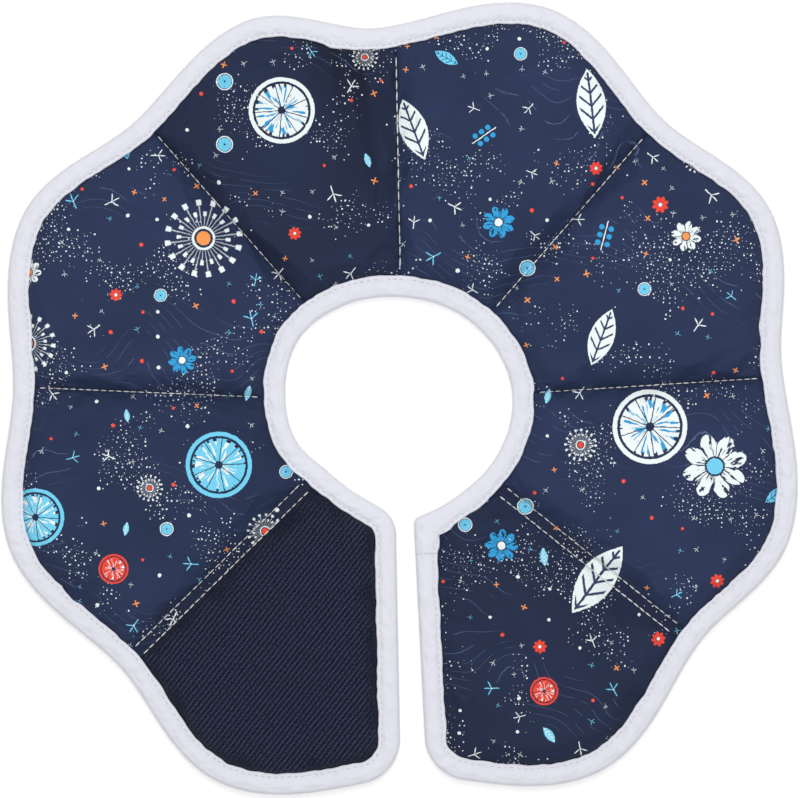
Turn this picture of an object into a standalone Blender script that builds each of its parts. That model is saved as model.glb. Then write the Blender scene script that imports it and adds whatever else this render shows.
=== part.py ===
"""A soft padded recovery collar, lying open and flat: eight padded petals round a neck hole,
a slit from neck to rim, and one tape bound round the whole edge.

Metres, +Z up, the origin under the middle of the collar's own box. The slit opens towards -Y.
Places round the collar are turns in degrees: clockwise from straight down the page (-Y), seen
from above, so 90 is to the left, 180 at the top and 270 to the right.
"""

import bmesh
import bpy
import numpy as np
from mathutils import Vector

MM = 0.001

# Outline of the finished edge, which is the outer fold of the tape
NECK_RADIUS = 50.0 * MM
RIM_RADIUS = 188.0 * MM
SCALLOP_DEPTH = 15.0 * MM
SLIT_TURN = -2.0
SLIT_NECK_GAP = 8.2 * MM
SLIT_RIM_GAP = 12.6 * MM
NECK_CORNER_RADIUS = 12.5 * MM
LAPPED_CORNER_RADIUS = 3.0 * MM
RIM_CORNER_RADIUS = 19.0 * MM

# Tape
TAPE_WIDTH = 9.6 * MM
TAPE_WALL = 1.0 * MM
TAPE_RISE = 0.5 * MM
TAPE_LAP_DROP = 14.0 * MM

# Padding, and the covers that meet at its seams
PAD_THICKNESS = 10.5 * MM
PAD_EDGE = 2.6 * MM
TOP_ROLL = 9.5 * MM
BELLY_ROLL = 6.0 * MM
BAND_WIDTH = 4.8 * MM
BAND_THICKNESS = 1.6 * MM

# Touch fastening
LOOP_SHEET = 1.2 * MM
HOOK_SHEET = 1.5 * MM
HOOK_WIDTH = 25.0 * MM
HOOK_LENGTH = 70.0 * MM

# Gap that neighbouring pieces keep
GAP = 0.3 * MM

# Heights that follow from these
TAPE_HALF = PAD_EDGE / 2 + GAP + TAPE_WALL
MID_HEIGHT = TAPE_RISE + TAPE_HALF
EDGE_TOP = MID_HEIGHT + PAD_EDGE / 2
EDGE_FOOT = MID_HEIGHT - PAD_EDGE / 2
PAD_INSET = TAPE_HALF
ROLL_START = TAPE_WIDTH + GAP
LOOP_PETAL = 1
HOOK_PETAL = 8
COLLECTION = "recovery_collar"

# Rim: turn, and how far the edge falls in from RIM_RADIUS there, as a share of SCALLOP_DEPTH
RIM_SCALLOPS = (
    ("slit_valley", -2.0, 1.40),
    ("petal_1_crest", 26.0, -0.02),
    ("valley", 47.0, 1.02),
    ("petal_2_crest", 70.0, 0.03),
    ("valley", 92.0, 0.89),
    ("petal_3_crest", 117.0, -0.17),
    ("valley", 137.0, 0.86),
    ("petal_4_crest", 158.0, 0.09),
    ("valley", 176.0, 1.18),
    ("petal_5_crest", 201.0, -0.19),
    ("valley", 223.0, 0.88),
    ("petal_6_crest", 242.0, -0.02),
    ("valley", 264.0, 1.03),
    ("petal_7_crest", 289.0, 0.20),
    ("valley", 308.0, 1.09),
    ("petal_8_crest", 331.0, 0.03),
    ("slit_valley", 358.0, 1.40),
)

# Neck: turn, and the radius there as a share of NECK_RADIUS
NECK_EDGE = (
    (0.0, 1.010),
    (16.0, 0.918),
    (32.0, 0.884),
    (50.0, 0.892),
    (70.0, 0.990),
    (96.0, 1.048),
    (124.0, 1.098),
    (150.0, 1.040),
    (180.0, 0.980),
    (222.0, 0.988),
    (264.0, 1.012),
    (300.0, 0.975),
    (328.0, 0.962),
    (342.0, 0.990),
    (357.0, 1.035),
)

# Seams between neighbouring petals: turn at the rim, turn at the neck, and whether the seam is
# a flat band between two stitch rows
SEAMS = (
    ("seam_band_left", 46.8, 50.7, True),
    ("seam_2", 92.8, 93.7, False),
    ("seam_3", 138.0, 136.7, False),
    ("seam_4", 179.2, 180.0, False),
    ("seam_5", 222.1, 224.7, False),
    ("seam_6", 265.7, 264.1, False),
    ("seam_band_right", 309.1, 310.5, True),
)

# Soft folds pressed into the top of a petal: its number, turn at the rim, turn at the neck, how
# far it runs in from the rim (share of the petal's depth), depth (share of the padding's rise
# over its edge) and half width (share of TOP_ROLL)
FOLDS = (
    (4, 168.8, 164.5, 0.85, 0.26, 1.30),
    (4, 172.6, 172.0, 0.50, 0.30, 0.75),
    (4, 176.0, 176.5, 0.95, 0.16, 0.80),
)

# Rows and columns of a petal's mesh. The near ones are depths from the finished edge past the
# tape, or from a seam, as shares of the roll; the others are spread evenly between them
EDGE_ROWS = (0.0, 0.16, 0.44, 1.0)
SEAM_COLUMNS = (0.0, 0.16, 0.46, 1.0)
MIDDLE_ROWS = 3
MIDDLE_COLUMNS = 5
FOLDED_COLUMNS = 9

# How finely lines are traced, and how the tape's stations are spread: a station every
# STATION_STEP, BEND_WEIGHT more for each half turn of the edge, and the way into the cloth
# turned gently over FAN_REACH tape widths at a corner
TRACE_STEP = 1.0 * MM
TRACE_POINTS = 1800
STATION_STEP = 9.0 * MM
BEND_WEIGHT = 4.0
FAN_REACH = 1.2

# Searches: rounds for a corner's turn, and the halvings and reach (in depths) of a walk inwards
MEETING_ROUNDS = 12
WALK_HALVINGS = 26
WALK_REACH = 4.0

# Side of the slit's axis that an edge of the slit is on
LEFT = 1.0
RIGHT = -1.0

SHARP_ANGLE = 50.0
TAPE_ROUND_TURNS = (-90.0, -45.0, 0.0, 45.0, 90.0)

PRINT_NAVY = (0.030, 0.042, 0.085, 1.0)
LOOP_NAVY = (0.012, 0.016, 0.035, 1.0)
TAPE_WHITE = (0.78, 0.78, 0.84, 1.0)
HOOK_BLACK = (0.010, 0.011, 0.016, 1.0)


def at_turn(turn, radius):
    """Points at turns in degrees and radii round the neck's centre."""
    angle = np.radians(turn)
    return np.stack([-radius * np.sin(angle), -radius * np.cos(angle)], axis=-1)


def unit(vectors):
    return vectors / np.linalg.norm(vectors, axis=-1, keepdims=True)


def left_of(direction):
    return np.array([-direction[1], direction[0]])


def curve_through(turns, values, slopes, at):
    """Cubic pieces through (turn, value) rows with the given slopes."""
    turns, values, slopes = (np.asarray(row, float) for row in (turns, values, slopes))
    at = np.clip(at, turns[0], turns[-1])
    left = np.clip(np.searchsorted(turns, at, side="right") - 1, 0, len(turns) - 2)
    span = turns[left + 1] - turns[left]
    t = (at - turns[left]) / span
    rise = t * t * (3 - 2 * t)
    return (
        values[left] * (1 - rise)
        + values[left + 1] * rise
        + span * slopes[left] * t * (1 - t) ** 2
        - span * slopes[left + 1] * t * t * (1 - t)
    )


def rim_radius(turn):
    """The scallops: each crest eases into the next valley and is level at both."""
    turns = [row[1] for row in RIM_SCALLOPS]
    fall = [row[2] for row in RIM_SCALLOPS]
    return RIM_RADIUS - SCALLOP_DEPTH * curve_through(turns, fall, np.zeros(len(fall)), turn)


def neck_radius(turn):
    turns, shares = np.transpose(NECK_EDGE)
    return NECK_RADIUS * curve_through(turns, shares, np.gradient(shares, turns), turn)


def slit_half_gap(radius):
    share = (radius - NECK_RADIUS) / (RIM_RADIUS - NECK_RADIUS)
    return (SLIT_NECK_GAP + (SLIT_RIM_GAP - SLIT_NECK_GAP) * share) / 2


def slit_corner_turn(edge_radius, side):
    """The turn at which an edge curve meets that side of the slit."""
    turn = SLIT_TURN % 360 if side == RIGHT else SLIT_TURN
    meeting = turn
    for _ in range(MEETING_ROUNDS):
        radius = edge_radius(meeting)
        meeting = turn + side * np.degrees(np.arcsin(slit_half_gap(radius) / radius))
    return meeting


def lengths_along(points):
    steps = np.linalg.norm(np.diff(points, axis=0), axis=1)
    return np.concatenate([[0.0], np.cumsum(steps)])


def at_lengths(points, lengths):
    along = lengths_along(points)
    return np.stack([np.interp(lengths, along, points[:, i]) for i in (0, 1)], axis=-1)


def trimmed(points, off_start, off_end):
    """An open line shortened at its ends, with a point every TRACE_STEP or so."""
    total = lengths_along(points)[-1]
    count = max(2, int(round((total - off_start - off_end) / TRACE_STEP)))
    return at_lengths(points, np.linspace(off_start, total - off_end, count))


def corner_reach(before, after, radius):
    """How far a corner of this radius runs back along each of its two lines."""
    along = unit(before[-1] - before[-2])
    away = unit(after[1] - after[0])
    half_turn = np.arccos(np.clip(along @ away, -1.0, 1.0)) / 2
    return radius * np.tan(half_turn), np.cos(half_turn)


def corner_arc(start, corner, end, weight):
    """A round corner: the conic from start to end whose tangents meet at the corner."""
    length = np.linalg.norm(corner - start) + np.linalg.norm(end - corner)
    t = np.linspace(0.0, 1.0, max(5, int(round(length / TRACE_STEP))))[1:-1, None]
    a, b, c = (1 - t) ** 2, 2 * t * (1 - t) * weight, t * t
    return (a * start + b * corner + c * end) / (a + b + c)


def trace_outline():
    """The finished edge as four runs (neck, left of slit, rim, right of slit), taken round with
    the cloth on the right hand. The neck and rim runs hold their rounded corners."""
    ends = {
        (curve, side): slit_corner_turn(curve, side)
        for curve in (neck_radius, rim_radius)
        for side in (LEFT, RIGHT)
    }
    neck_turns = np.linspace(ends[neck_radius, RIGHT], ends[neck_radius, LEFT], TRACE_POINTS)
    rim_turns = np.linspace(ends[rim_radius, LEFT], ends[rim_radius, RIGHT], TRACE_POINTS)
    neck = at_turn(neck_turns, neck_radius(neck_turns))
    rim = at_turn(rim_turns, rim_radius(rim_turns))
    left = np.linspace(neck[-1], rim[0], TRACE_POINTS)
    right = np.linspace(rim[-1], neck[0], TRACE_POINTS)
    runs = [neck, left, rim, right]
    radii = [NECK_CORNER_RADIUS, RIM_CORNER_RADIUS, RIM_CORNER_RADIUS, LAPPED_CORNER_RADIUS]
    reaches = [corner_reach(runs[i], runs[(i + 1) % 4], radii[i]) for i in range(4)]
    short = [trimmed(runs[i], reaches[i - 1][0], reaches[i][0]) for i in range(4)]
    arcs = [
        corner_arc(short[i][-1], runs[i][-1], short[(i + 1) % 4][0], reaches[i][1])
        for i in range(4)
    ]
    return {
        "neck": np.concatenate([arcs[3], short[0], arcs[0]]),
        "left": short[1],
        "rim": np.concatenate([arcs[1], short[2], arcs[2]]),
        "right": short[3],
    }


def distance_to(line, points):
    """The distance of each point to the nearest part of a line."""
    start, step = line[:-1], np.diff(line, axis=0)
    flat = points.reshape(-1, 2)
    offset = flat[:, None] - start
    share = np.clip((offset * step).sum(-1) / (step * step).sum(-1), 0.0, 1.0)
    gaps = offset - share[..., None] * step
    return np.sqrt((gaps * gaps).sum(-1).min(axis=1)).reshape(points.shape[:-1])


def walk_in(points, directions, depth, line):
    """Each point moved along its direction until it lies `depth` away from the line."""
    near = np.zeros(len(points))
    far = np.full(len(points), WALK_REACH * depth)
    for _ in range(WALK_HALVINGS):
        middle = (near + far) / 2
        short = distance_to(line, points + middle[:, None] * directions) < depth
        near = np.where(short, middle, near)
        far = np.where(short, far, middle)
    return points + far[:, None] * directions


def closed_loop(runs):
    loop = np.concatenate([runs[name] for name in ("neck", "left", "rim", "right")])
    return np.concatenate([loop, loop[:1]])


def crossing(line, start, out, offset):
    """Where a line is met by the straight line that runs out `offset` left of start: the place
    and its index in the line. A line that only touches it is met at its nearest point."""
    side = (line - start) @ left_of(out) - offset
    ahead = (line - start) @ out > -NECK_RADIUS
    changes = np.flatnonzero((side[:-1] * side[1:] < 0) & ahead[:-1])
    if not len(changes):
        nearest = int(np.argmin(np.where(ahead, np.abs(side), np.inf)))
        return line[nearest], nearest
    first = changes[0]
    share = side[first] / (side[first] - side[first + 1])
    return line[first] + share * (line[first + 1] - line[first]), first + share


def inset_run(runs, name, loop):
    """A run of the outline moved PAD_INSET into the cloth: the line along which pads are cut."""
    line = runs[name]
    tangent = unit(np.gradient(line, axis=0))
    inward = np.stack([tangent[:, 1], -tangent[:, 0]], axis=-1)
    return walk_in(line, inward, PAD_INSET, loop)


def seam_line(rim_turn, neck_turn):
    """A seam as the point where it leaves the neck and its direction towards the rim."""
    start = at_turn(neck_turn, neck_radius(neck_turn))
    end = at_turn(rim_turn, rim_radius(rim_turn))
    return start, unit(end - start)


def side_columns(side, cut):
    """Where the columns that run beside one side of a petal meet a cut line."""
    return [crossing(cut, side["start"], side["out"], side["hand"] * gap) for gap in side["gaps"]]


def petal_columns(sides, cut, middle_columns):
    """Where all columns of a petal meet a cut line, from its first side to its second."""
    first, second = (side_columns(side, cut) for side in sides)
    along = lengths_along(cut)
    inner = [np.interp(places[-1][1], np.arange(len(cut)), along) for places in (first, second)]
    middle = at_lengths(cut, np.linspace(*inner, middle_columns + 2)[1:-1])
    beside = [[point for point, _ in places] for places in (first, second)]
    return np.array([*beside[0], *middle, *reversed(beside[1])])


def petal_grid(sides, cuts, runs, middle_columns):
    """Plan positions of a petal's mesh, rows from neck to rim and columns from side to side."""
    neck_ends, rim_ends = (petal_columns(sides, cut, middle_columns) for cut in cuts)
    outward = unit(rim_ends - neck_ends)
    depths = [ROLL_START + share * TOP_ROLL for share in EDGE_ROWS]
    near_neck = [walk_in(neck_ends, outward, depth, runs["neck"]) for depth in depths]
    near_rim = [walk_in(rim_ends, -outward, depth, runs["rim"]) for depth in depths]
    shares = np.linspace(0.0, 1.0, MIDDLE_ROWS + 2)[1:-1]
    middle = [near_neck[-1] + share * (near_rim[-1] - near_neck[-1]) for share in shares]
    return np.array([neck_ends, *near_neck, *middle, *reversed(near_rim), rim_ends])


def roll(distance, width):
    """A quarter round rise: 0 at distance 0 and 1 from `width` on."""
    t = np.clip(distance / width, 0.0, 1.0)
    return np.sqrt(1.0 - (1.0 - t) ** 2)


def fold_dent(number, plan):
    """The share of a petal's rise that its soft folds take away at each plan position."""
    dent = np.zeros(plan.shape[:-1])
    for petal, rim_turn, neck_turn, reach, depth, half_width in FOLDS:
        if petal != number:
            continue
        start, out = seam_line(rim_turn, neck_turn)
        offset = plan - start
        across = offset @ left_of(out)
        from_rim = 1.0 - (offset @ out) / (RIM_RADIUS - NECK_RADIUS)
        fade = np.clip((reach - from_rim) / reach, 0.0, 1.0)
        dent = dent + depth * fade * np.exp(-((across / (half_width * TOP_ROLL)) ** 2))
    return dent


def petal_heights(number, plan, sides, loop):
    """Heights of the top and the underside of a petal over its plan positions."""
    past_tape = distance_to(loop, plan) - ROLL_START
    top = roll(past_tape, TOP_ROLL)
    belly = roll(past_tape, BELLY_ROLL)
    for side in sides:
        if side["taped"]:
            continue
        past_seam = side["hand"] * ((plan - side["start"]) @ left_of(side["out"])) - side["gaps"][0]
        top = top * roll(past_seam, TOP_ROLL)
        belly = belly * roll(past_seam, BELLY_ROLL)
    rise = top * (1.0 - fold_dent(number, plan))
    upper = EDGE_TOP + (PAD_THICKNESS - EDGE_TOP) * rise
    lower = EDGE_FOOT * (1.0 - belly)
    if number == HOOK_PETAL:
        lower = np.full_like(upper, EDGE_FOOT)
    return upper, lower


def seam_side(seam, hand):
    """A side of a petal at a seam. Its hand is 1 where the petal is left of the way outwards."""
    _, rim_turn, neck_turn, banded = seam
    start, out = seam_line(rim_turn, neck_turn)
    nearest = BAND_WIDTH / 2 + GAP if banded else GAP / 2
    gaps = [nearest + share * TOP_ROLL for share in SEAM_COLUMNS]
    return {"start": start, "out": out, "hand": hand, "gaps": gaps, "taped": False}


def slit_side(run, hand):
    """A side of a petal at the slit, where the tape covers its edge."""
    gaps = [PAD_INSET] + [ROLL_START + share * TOP_ROLL for share in EDGE_ROWS]
    out = unit(run[-1] - run[0])
    return {"start": run[0], "out": out, "hand": hand, "gaps": gaps, "taped": True}


def finish_mesh(name, bm, colour, roughness):
    """An object from a bmesh, with its own cloth material."""
    mesh = bpy.data.meshes.new(name)
    bm.to_mesh(mesh)
    bm.free()
    mesh.shade_smooth()
    mesh.set_sharp_from_angle(angle=np.radians(SHARP_ANGLE))
    material = bpy.data.materials.new(name)
    material.use_nodes = True
    shader = material.node_tree.nodes["Principled BSDF"]
    shader.inputs["Base Color"].default_value = colour
    shader.inputs["Roughness"].default_value = roughness
    shader.inputs["Metallic"].default_value = 0.0
    mesh.materials.append(material)
    piece = bpy.data.objects.new(name, mesh)
    bpy.data.collections[COLLECTION].objects.link(piece)
    return piece


def add_block(name, plan, upper, lower, colour, roughness):
    """A box divided into the rows and columns of a plan, with its two faces at given heights."""
    rows, columns = upper.shape
    bm = bmesh.new()
    bmesh.ops.create_cube(bm, size=1.0)
    for axis, count in ((0, columns), (1, rows)):
        along = [edge for edge in bm.edges if abs((edge.verts[0].co - edge.verts[1].co)[axis]) > 0.5]
        if count > 2:
            bmesh.ops.subdivide_edges(bm, edges=along, cuts=count - 2, use_grid_fill=True)
    for vertex in bm.verts:
        column = round((vertex.co.x + 0.5) * (columns - 1))
        row = round((vertex.co.y + 0.5) * (rows - 1))
        height = upper[row, column] if vertex.co.z > 0 else lower[row, column]
        vertex.co = Vector((*plan[row, column], height))
    bmesh.ops.triangulate(bm, faces=bm.faces, quad_method="SHORT_EDGE")
    return finish_mesh(name, bm, colour, roughness)


def tape_section():
    """Depth in from the fold and height over the mid plane, round the outside of the tape from
    its lower edge to its upper one."""
    turns = np.radians(TAPE_ROUND_TURNS)
    depths = TAPE_HALF * (1.0 - np.cos(turns))
    heights = TAPE_HALF * np.sin(turns)
    return [(TAPE_WIDTH, -TAPE_HALF), *zip(depths, heights), (TAPE_WIDTH, TAPE_HALF)]


def tape_stations(runs):
    """Places along the tape, closer where the edge bends, and the way into the cloth at each.
    The tape starts and ends TAPE_LAP_DROP below the lapped corner."""
    right = runs["right"]
    upper_end = trimmed(right, lengths_along(right)[-1] - TAPE_LAP_DROP, 0.0)
    lower_end = trimmed(right, 0.0, TAPE_LAP_DROP + GAP)
    middle = [runs[name] for name in ("neck", "left", "rim")]
    path = np.concatenate([upper_end[:-1], *middle, lower_end[1:]])
    count = int(round(lengths_along(path)[-1] / TRACE_STEP))
    path = at_lengths(path, np.linspace(0.0, lengths_along(path)[-1], count))
    tangent = unit(np.gradient(path, axis=0))
    inward = np.stack([tangent[:, 1], -tangent[:, 0]], axis=-1)
    turning = np.linalg.norm(np.gradient(tangent, axis=0), axis=1)
    cost = lengths_along(path) / STATION_STEP + BEND_WEIGHT * np.cumsum(turning) / np.pi
    stations = np.linspace(cost[0], cost[-1], int(round(cost[-1] - cost[0])) + 1)
    reach = int(round(FAN_REACH * TAPE_WIDTH / TRACE_STEP))
    kernel = np.hanning(2 * reach + 3)[1:-1]
    padded = np.concatenate([inward[:1].repeat(reach, 0), inward, inward[-1:].repeat(reach, 0)])
    smooth = [np.convolve(padded[:, i], kernel / kernel.sum(), mode="valid") for i in (0, 1)]
    places = np.stack([np.interp(stations, cost, path[:, i]) for i in (0, 1)], axis=-1)
    ways = np.stack([np.interp(stations, cost, smooth[i]) for i in (0, 1)], axis=-1)
    return places, unit(ways)


def add_tape(runs, loop, shift):
    """The binding: an open U-shaped surface along the edge, given its wall by Solidify."""
    places, ways = tape_stations(runs)
    section = tape_section()
    bm = bmesh.new()
    bmesh.ops.create_grid(bm, x_segments=len(section) - 1, y_segments=len(places) - 1, size=0.5)
    rings = [walk_in(places, ways, depth, loop) if depth else places for depth, _ in section]
    for vertex in bm.verts:
        column = round((vertex.co.x + 0.5) * (len(section) - 1))
        row = round((vertex.co.y + 0.5) * (len(places) - 1))
        height = MID_HEIGHT + section[column][1]
        vertex.co = Vector((*(rings[column][row] - shift), height))
    piece = finish_mesh("edge_binding", bm, TAPE_WHITE, 0.8)
    wall = piece.modifiers.new("wall", "SOLIDIFY")
    wall.thickness = TAPE_WALL
    wall.offset = -1.0
    wall.use_even_offset = True
    return piece


def add_hook_patch(slit_edge, shift):
    """The hook tape under the last petal, beside the slit and clear of the binding."""
    out = unit(slit_edge[-1] - slit_edge[0])
    across = left_of(out)
    middle = (slit_edge[0] + slit_edge[-1]) / 2 + across * (ROLL_START + GAP + HOOK_WIDTH / 2)
    corners = [
        [middle + out * y * HOOK_LENGTH / 2 + across * x * HOOK_WIDTH / 2 for x in (1, -1)]
        for y in (-1, 1)
    ]
    flat = np.zeros((2, 2))
    plan = np.array(corners) - shift
    return add_block("hook_patch", plan, flat + HOOK_SHEET, flat, HOOK_BLACK, 0.9)


def add_band(seam, cuts, shift):
    """The flat strip of cover cloth between the two stitch rows of a folding seam."""
    name, rim_turn, neck_turn, _ = seam
    start, out = seam_line(rim_turn, neck_turn)
    halves = (BAND_WIDTH / 2, -BAND_WIDTH / 2)
    plan = np.array([[crossing(cut, start, out, half)[0] for half in halves] for cut in cuts])
    level = np.full((2, 2), MID_HEIGHT)
    half = BAND_THICKNESS / 2
    return add_block(name, plan - shift, level + half, level - half, PRINT_NAVY, 0.9)


def build():
    for old in list(bpy.data.objects):
        bpy.data.objects.remove(old, do_unlink=True)
    bpy.context.scene.collection.children.link(bpy.data.collections.new(COLLECTION))
    runs = trace_outline()
    loop = closed_loop(runs)
    cuts = [inset_run(runs, name, loop) for name in ("neck", "rim")]
    shift = (loop.min(axis=0) + loop.max(axis=0)) / 2
    firsts = [slit_side(runs["left"], -1.0)] + [seam_side(seam, -1.0) for seam in SEAMS]
    seconds = [seam_side(seam, 1.0) for seam in SEAMS] + [slit_side(runs["right"][::-1], 1.0)]
    folded = {row[0] for row in FOLDS}
    for number, sides in enumerate(zip(firsts, seconds), start=1):
        columns = FOLDED_COLUMNS if number in folded else MIDDLE_COLUMNS
        plan = petal_grid(sides, cuts, runs, columns)
        upper, lower = petal_heights(number, plan, sides, loop)
        plan = plan - shift
        if number == LOOP_PETAL:
            add_block("loop_panel", plan, upper, upper - LOOP_SHEET, LOOP_NAVY, 0.95)
            upper = upper - LOOP_SHEET - GAP
        if number == HOOK_PETAL:
            add_hook_patch(runs["right"][::-1], shift)
        add_block(f"petal_{number}", plan, upper, lower, PRINT_NAVY, 0.85)
    for seam in SEAMS:
        if seam[3]:
            add_band(seam, cuts, shift)
    add_tape(runs, loop, shift)


build()
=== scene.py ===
"""The looks of a soft padded recovery collar, lying open and flat on a pale floor.

Every length is in metres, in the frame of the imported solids: +Z up, the slit opening towards -Y.
Places round the collar are turns in degrees, clockwise from straight down the page (-Y) as seen
from above: 90 is to the left, 180 at the top and 270 to the right.
"""

import logging
from collections.abc import Callable
from dataclasses import dataclass, field
from enum import Enum

import bpy
import numpy as np
from numpy.typing import NDArray
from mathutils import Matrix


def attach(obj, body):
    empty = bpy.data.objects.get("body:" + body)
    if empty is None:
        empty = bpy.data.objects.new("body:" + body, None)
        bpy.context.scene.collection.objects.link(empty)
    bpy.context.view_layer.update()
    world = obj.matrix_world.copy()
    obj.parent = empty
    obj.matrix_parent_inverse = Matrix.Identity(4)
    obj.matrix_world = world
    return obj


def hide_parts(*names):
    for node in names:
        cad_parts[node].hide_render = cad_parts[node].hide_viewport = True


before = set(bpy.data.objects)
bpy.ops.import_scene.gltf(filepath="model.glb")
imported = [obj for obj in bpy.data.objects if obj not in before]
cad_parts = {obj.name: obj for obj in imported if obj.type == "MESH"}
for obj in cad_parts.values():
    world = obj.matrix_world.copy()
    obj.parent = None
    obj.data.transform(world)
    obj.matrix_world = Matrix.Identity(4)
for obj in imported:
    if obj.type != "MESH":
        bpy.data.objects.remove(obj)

LOG = logging.getLogger("collar")
MM = 0.001
BODY = "root"

Array = NDArray[np.float64]
Socket = bpy.types.NodeSocket
Colour = tuple[float, float, float]


# Lines and smooth functions


def unit(vectors: Array) -> Array:
    """Vectors scaled to length 1."""
    return vectors / np.linalg.norm(vectors, axis=-1, keepdims=True)


def left_of(direction: Array) -> Array:
    """The direction a quarter turn to the left of one in the plan, or of several."""
    return np.stack([-direction[..., 1], direction[..., 0]], axis=-1)


def lengths_along(points: Array) -> Array:
    """The length of a line up to each of its points."""
    steps = np.linalg.norm(np.diff(points, axis=0), axis=1)
    return np.concatenate([[0.0], np.cumsum(steps)])


def at_lengths(points: Array, lengths: Array) -> Array:
    """The places on a line at these lengths along it."""
    along = lengths_along(points)
    return np.stack([np.interp(lengths, along, points[:, i]) for i in range(points.shape[1])], -1)


def evenly(points: Array, step: float) -> Array:
    """A line with a point every `step` or so."""
    total = lengths_along(points)[-1]
    return at_lengths(points, np.linspace(0.0, total, max(2, int(round(total / step)) + 1)))


def gathered(count: int, pull: float) -> Array:
    """Numbers from 0 to 1 that lie closer together at both ends.

    It is c minus pull times the sine of a full turn of c, over a full turn.
    """
    c = np.linspace(0.0, 1.0, count)
    return c - pull * np.sin(2.0 * np.pi * c) / (2.0 * np.pi)


def pillow(distance: Array, width: Array | float, power: float = 1.7) -> Array:
    """The rise of a stuffed edge: steep at distance 0 and level from `width` on.

    It is the quarter of a rounded square: the p-th root of 1 minus (1 - t) to the power p.
    """
    t = np.clip(distance / width, 0.0, 1.0)
    return (1.0 - (1.0 - t) ** power) ** (1.0 / power)


def distance_to(line: Array, points: Array, batch: int = 4096) -> Array:
    """The distance of each point to the nearest part of a line.

    Each point is dropped square onto every straight piece of the line, held between the piece's
    ends, and the shortest of the gaps is kept.
    """
    start, step = line[:-1], np.diff(line, axis=0)
    squares = (step * step).sum(-1)
    flat = points.reshape(-1, 2)
    found = []
    for some in np.array_split(flat, max(1, len(flat) // batch)):
        offset = some[:, None] - start
        share = np.clip((offset * step).sum(-1) / squares, 0.0, 1.0)
        gaps = offset - share[..., None] * step
        found.append(np.sqrt((gaps * gaps).sum(-1).min(axis=1)))
    return np.concatenate(found).reshape(points.shape[:-1])


def walk_in(points: Array, ways: Array, depth: float, line: Array, halvings: int = 15) -> Array:
    """Each point moved along its way until it lies `depth` away from the line, by halving."""
    near, far = np.zeros(len(points)), np.full(len(points), 4.0 * depth)
    for _ in range(halvings):
        middle = (near + far) / 2.0
        short = distance_to(line, points + middle[:, None] * ways) < depth
        near, far = np.where(short, middle, near), np.where(short, far, middle)
    return points + far[:, None] * ways


def cubic_shares(count: int, finer: int) -> Array:
    """How much each of `count` even samples gives to each of `finer` places between them.

    The curve through the samples is the cubic whose slope at each is that between its neighbours.
    """
    at = np.linspace(0.0, count - 1.0, finer)
    low = np.clip(np.floor(at).astype(int), 0, count - 2)
    t = at - low
    taps = (
        (-1, ((2.0 - t) * t - 1.0) * t / 2.0),
        (0, ((3.0 * t - 5.0) * t * t + 2.0) / 2.0),
        (1, ((4.0 - 3.0 * t) * t + 1.0) * t / 2.0),
        (2, (t - 1.0) * t * t / 2.0),
    )
    shares = np.zeros((finer, count))
    for step, share in taps:
        np.add.at(shares, (np.arange(finer), np.clip(low + step, 0, count - 1)), share)
    return shares


def refined(grid: Array, rows: int, columns: int) -> Array:
    """A grid of vectors resampled to more rows and columns, by cubics along both."""
    by_row, by_column = cubic_shares(grid.shape[0], rows), cubic_shares(grid.shape[1], columns)
    return np.einsum("ri,cj,ijk->rck", by_row, by_column, grid)


@dataclass(frozen=True)
class Waves:
    """Smooth seeded unevenness: a sum of plane waves of about one length, from all directions."""

    length: float
    seed: int
    count: int = 16
    spread: float = 0.45

    def at(self, points: Array) -> Array:
        """The unevenness at points of one, two or three coordinates, mostly between -1 and 1.

        Each wave is the cosine of the point's distance along the wave's own direction.
        """
        draw = np.random.default_rng(self.seed)
        ways = unit(draw.normal(size=(self.count, points.shape[-1])))
        lengths = self.length * np.exp(draw.uniform(-self.spread, self.spread, self.count))
        phases = draw.uniform(0.0, 2.0 * np.pi, self.count)
        turns = 2.0 * np.pi * (points @ ways.T) / lengths + phases
        return np.cos(turns).sum(-1) * np.sqrt(2.0 / self.count) / 1.6


# The plan of the collar


@dataclass(frozen=True)
class Sizes:
    """The named sizes that the collar's pieces share, as its solids have them."""

    neck_radius: float = 50.0 * MM
    rim_radius: float = 188.0 * MM
    scallop_depth: float = 15.0 * MM
    slit_turn: float = -2.0
    slit_neck_gap: float = 8.2 * MM
    slit_rim_gap: float = 12.6 * MM
    neck_corner: float = 12.5 * MM
    lapped_corner: float = 3.0 * MM
    rim_corner: float = 19.0 * MM
    tape_width: float = 9.6 * MM
    tape_half: float = 2.6 * MM
    tape_lap_drop: float = 14.0 * MM
    mid_height: float = 3.1 * MM
    edge_top: float = 4.4 * MM
    edge_foot: float = 1.8 * MM
    pad_top: float = 10.5 * MM
    pad_inset: float = 2.6 * MM
    top_roll: float = 9.5 * MM
    belly_roll: float = 6.0 * MM
    band_width: float = 4.8 * MM
    loop_sheet: float = 1.2 * MM
    hook_sheet: float = 1.5 * MM
    gap: float = 0.3 * MM
    trace_step: float = 1.0 * MM


# Turn of each scallop row, and how far the rim falls in there, as a share of the scallop depth
RIM_SCALLOPS = (
    (-2.0, 1.40), (26.0, -0.02), (47.0, 1.02), (70.0, 0.03), (92.0, 0.89), (117.0, -0.17),
    (137.0, 0.86), (158.0, 0.09), (176.0, 1.18), (201.0, -0.19), (223.0, 0.88), (242.0, -0.02),
    (264.0, 1.03), (289.0, 0.20), (308.0, 1.09), (331.0, 0.03), (358.0, 1.40),
)

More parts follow.
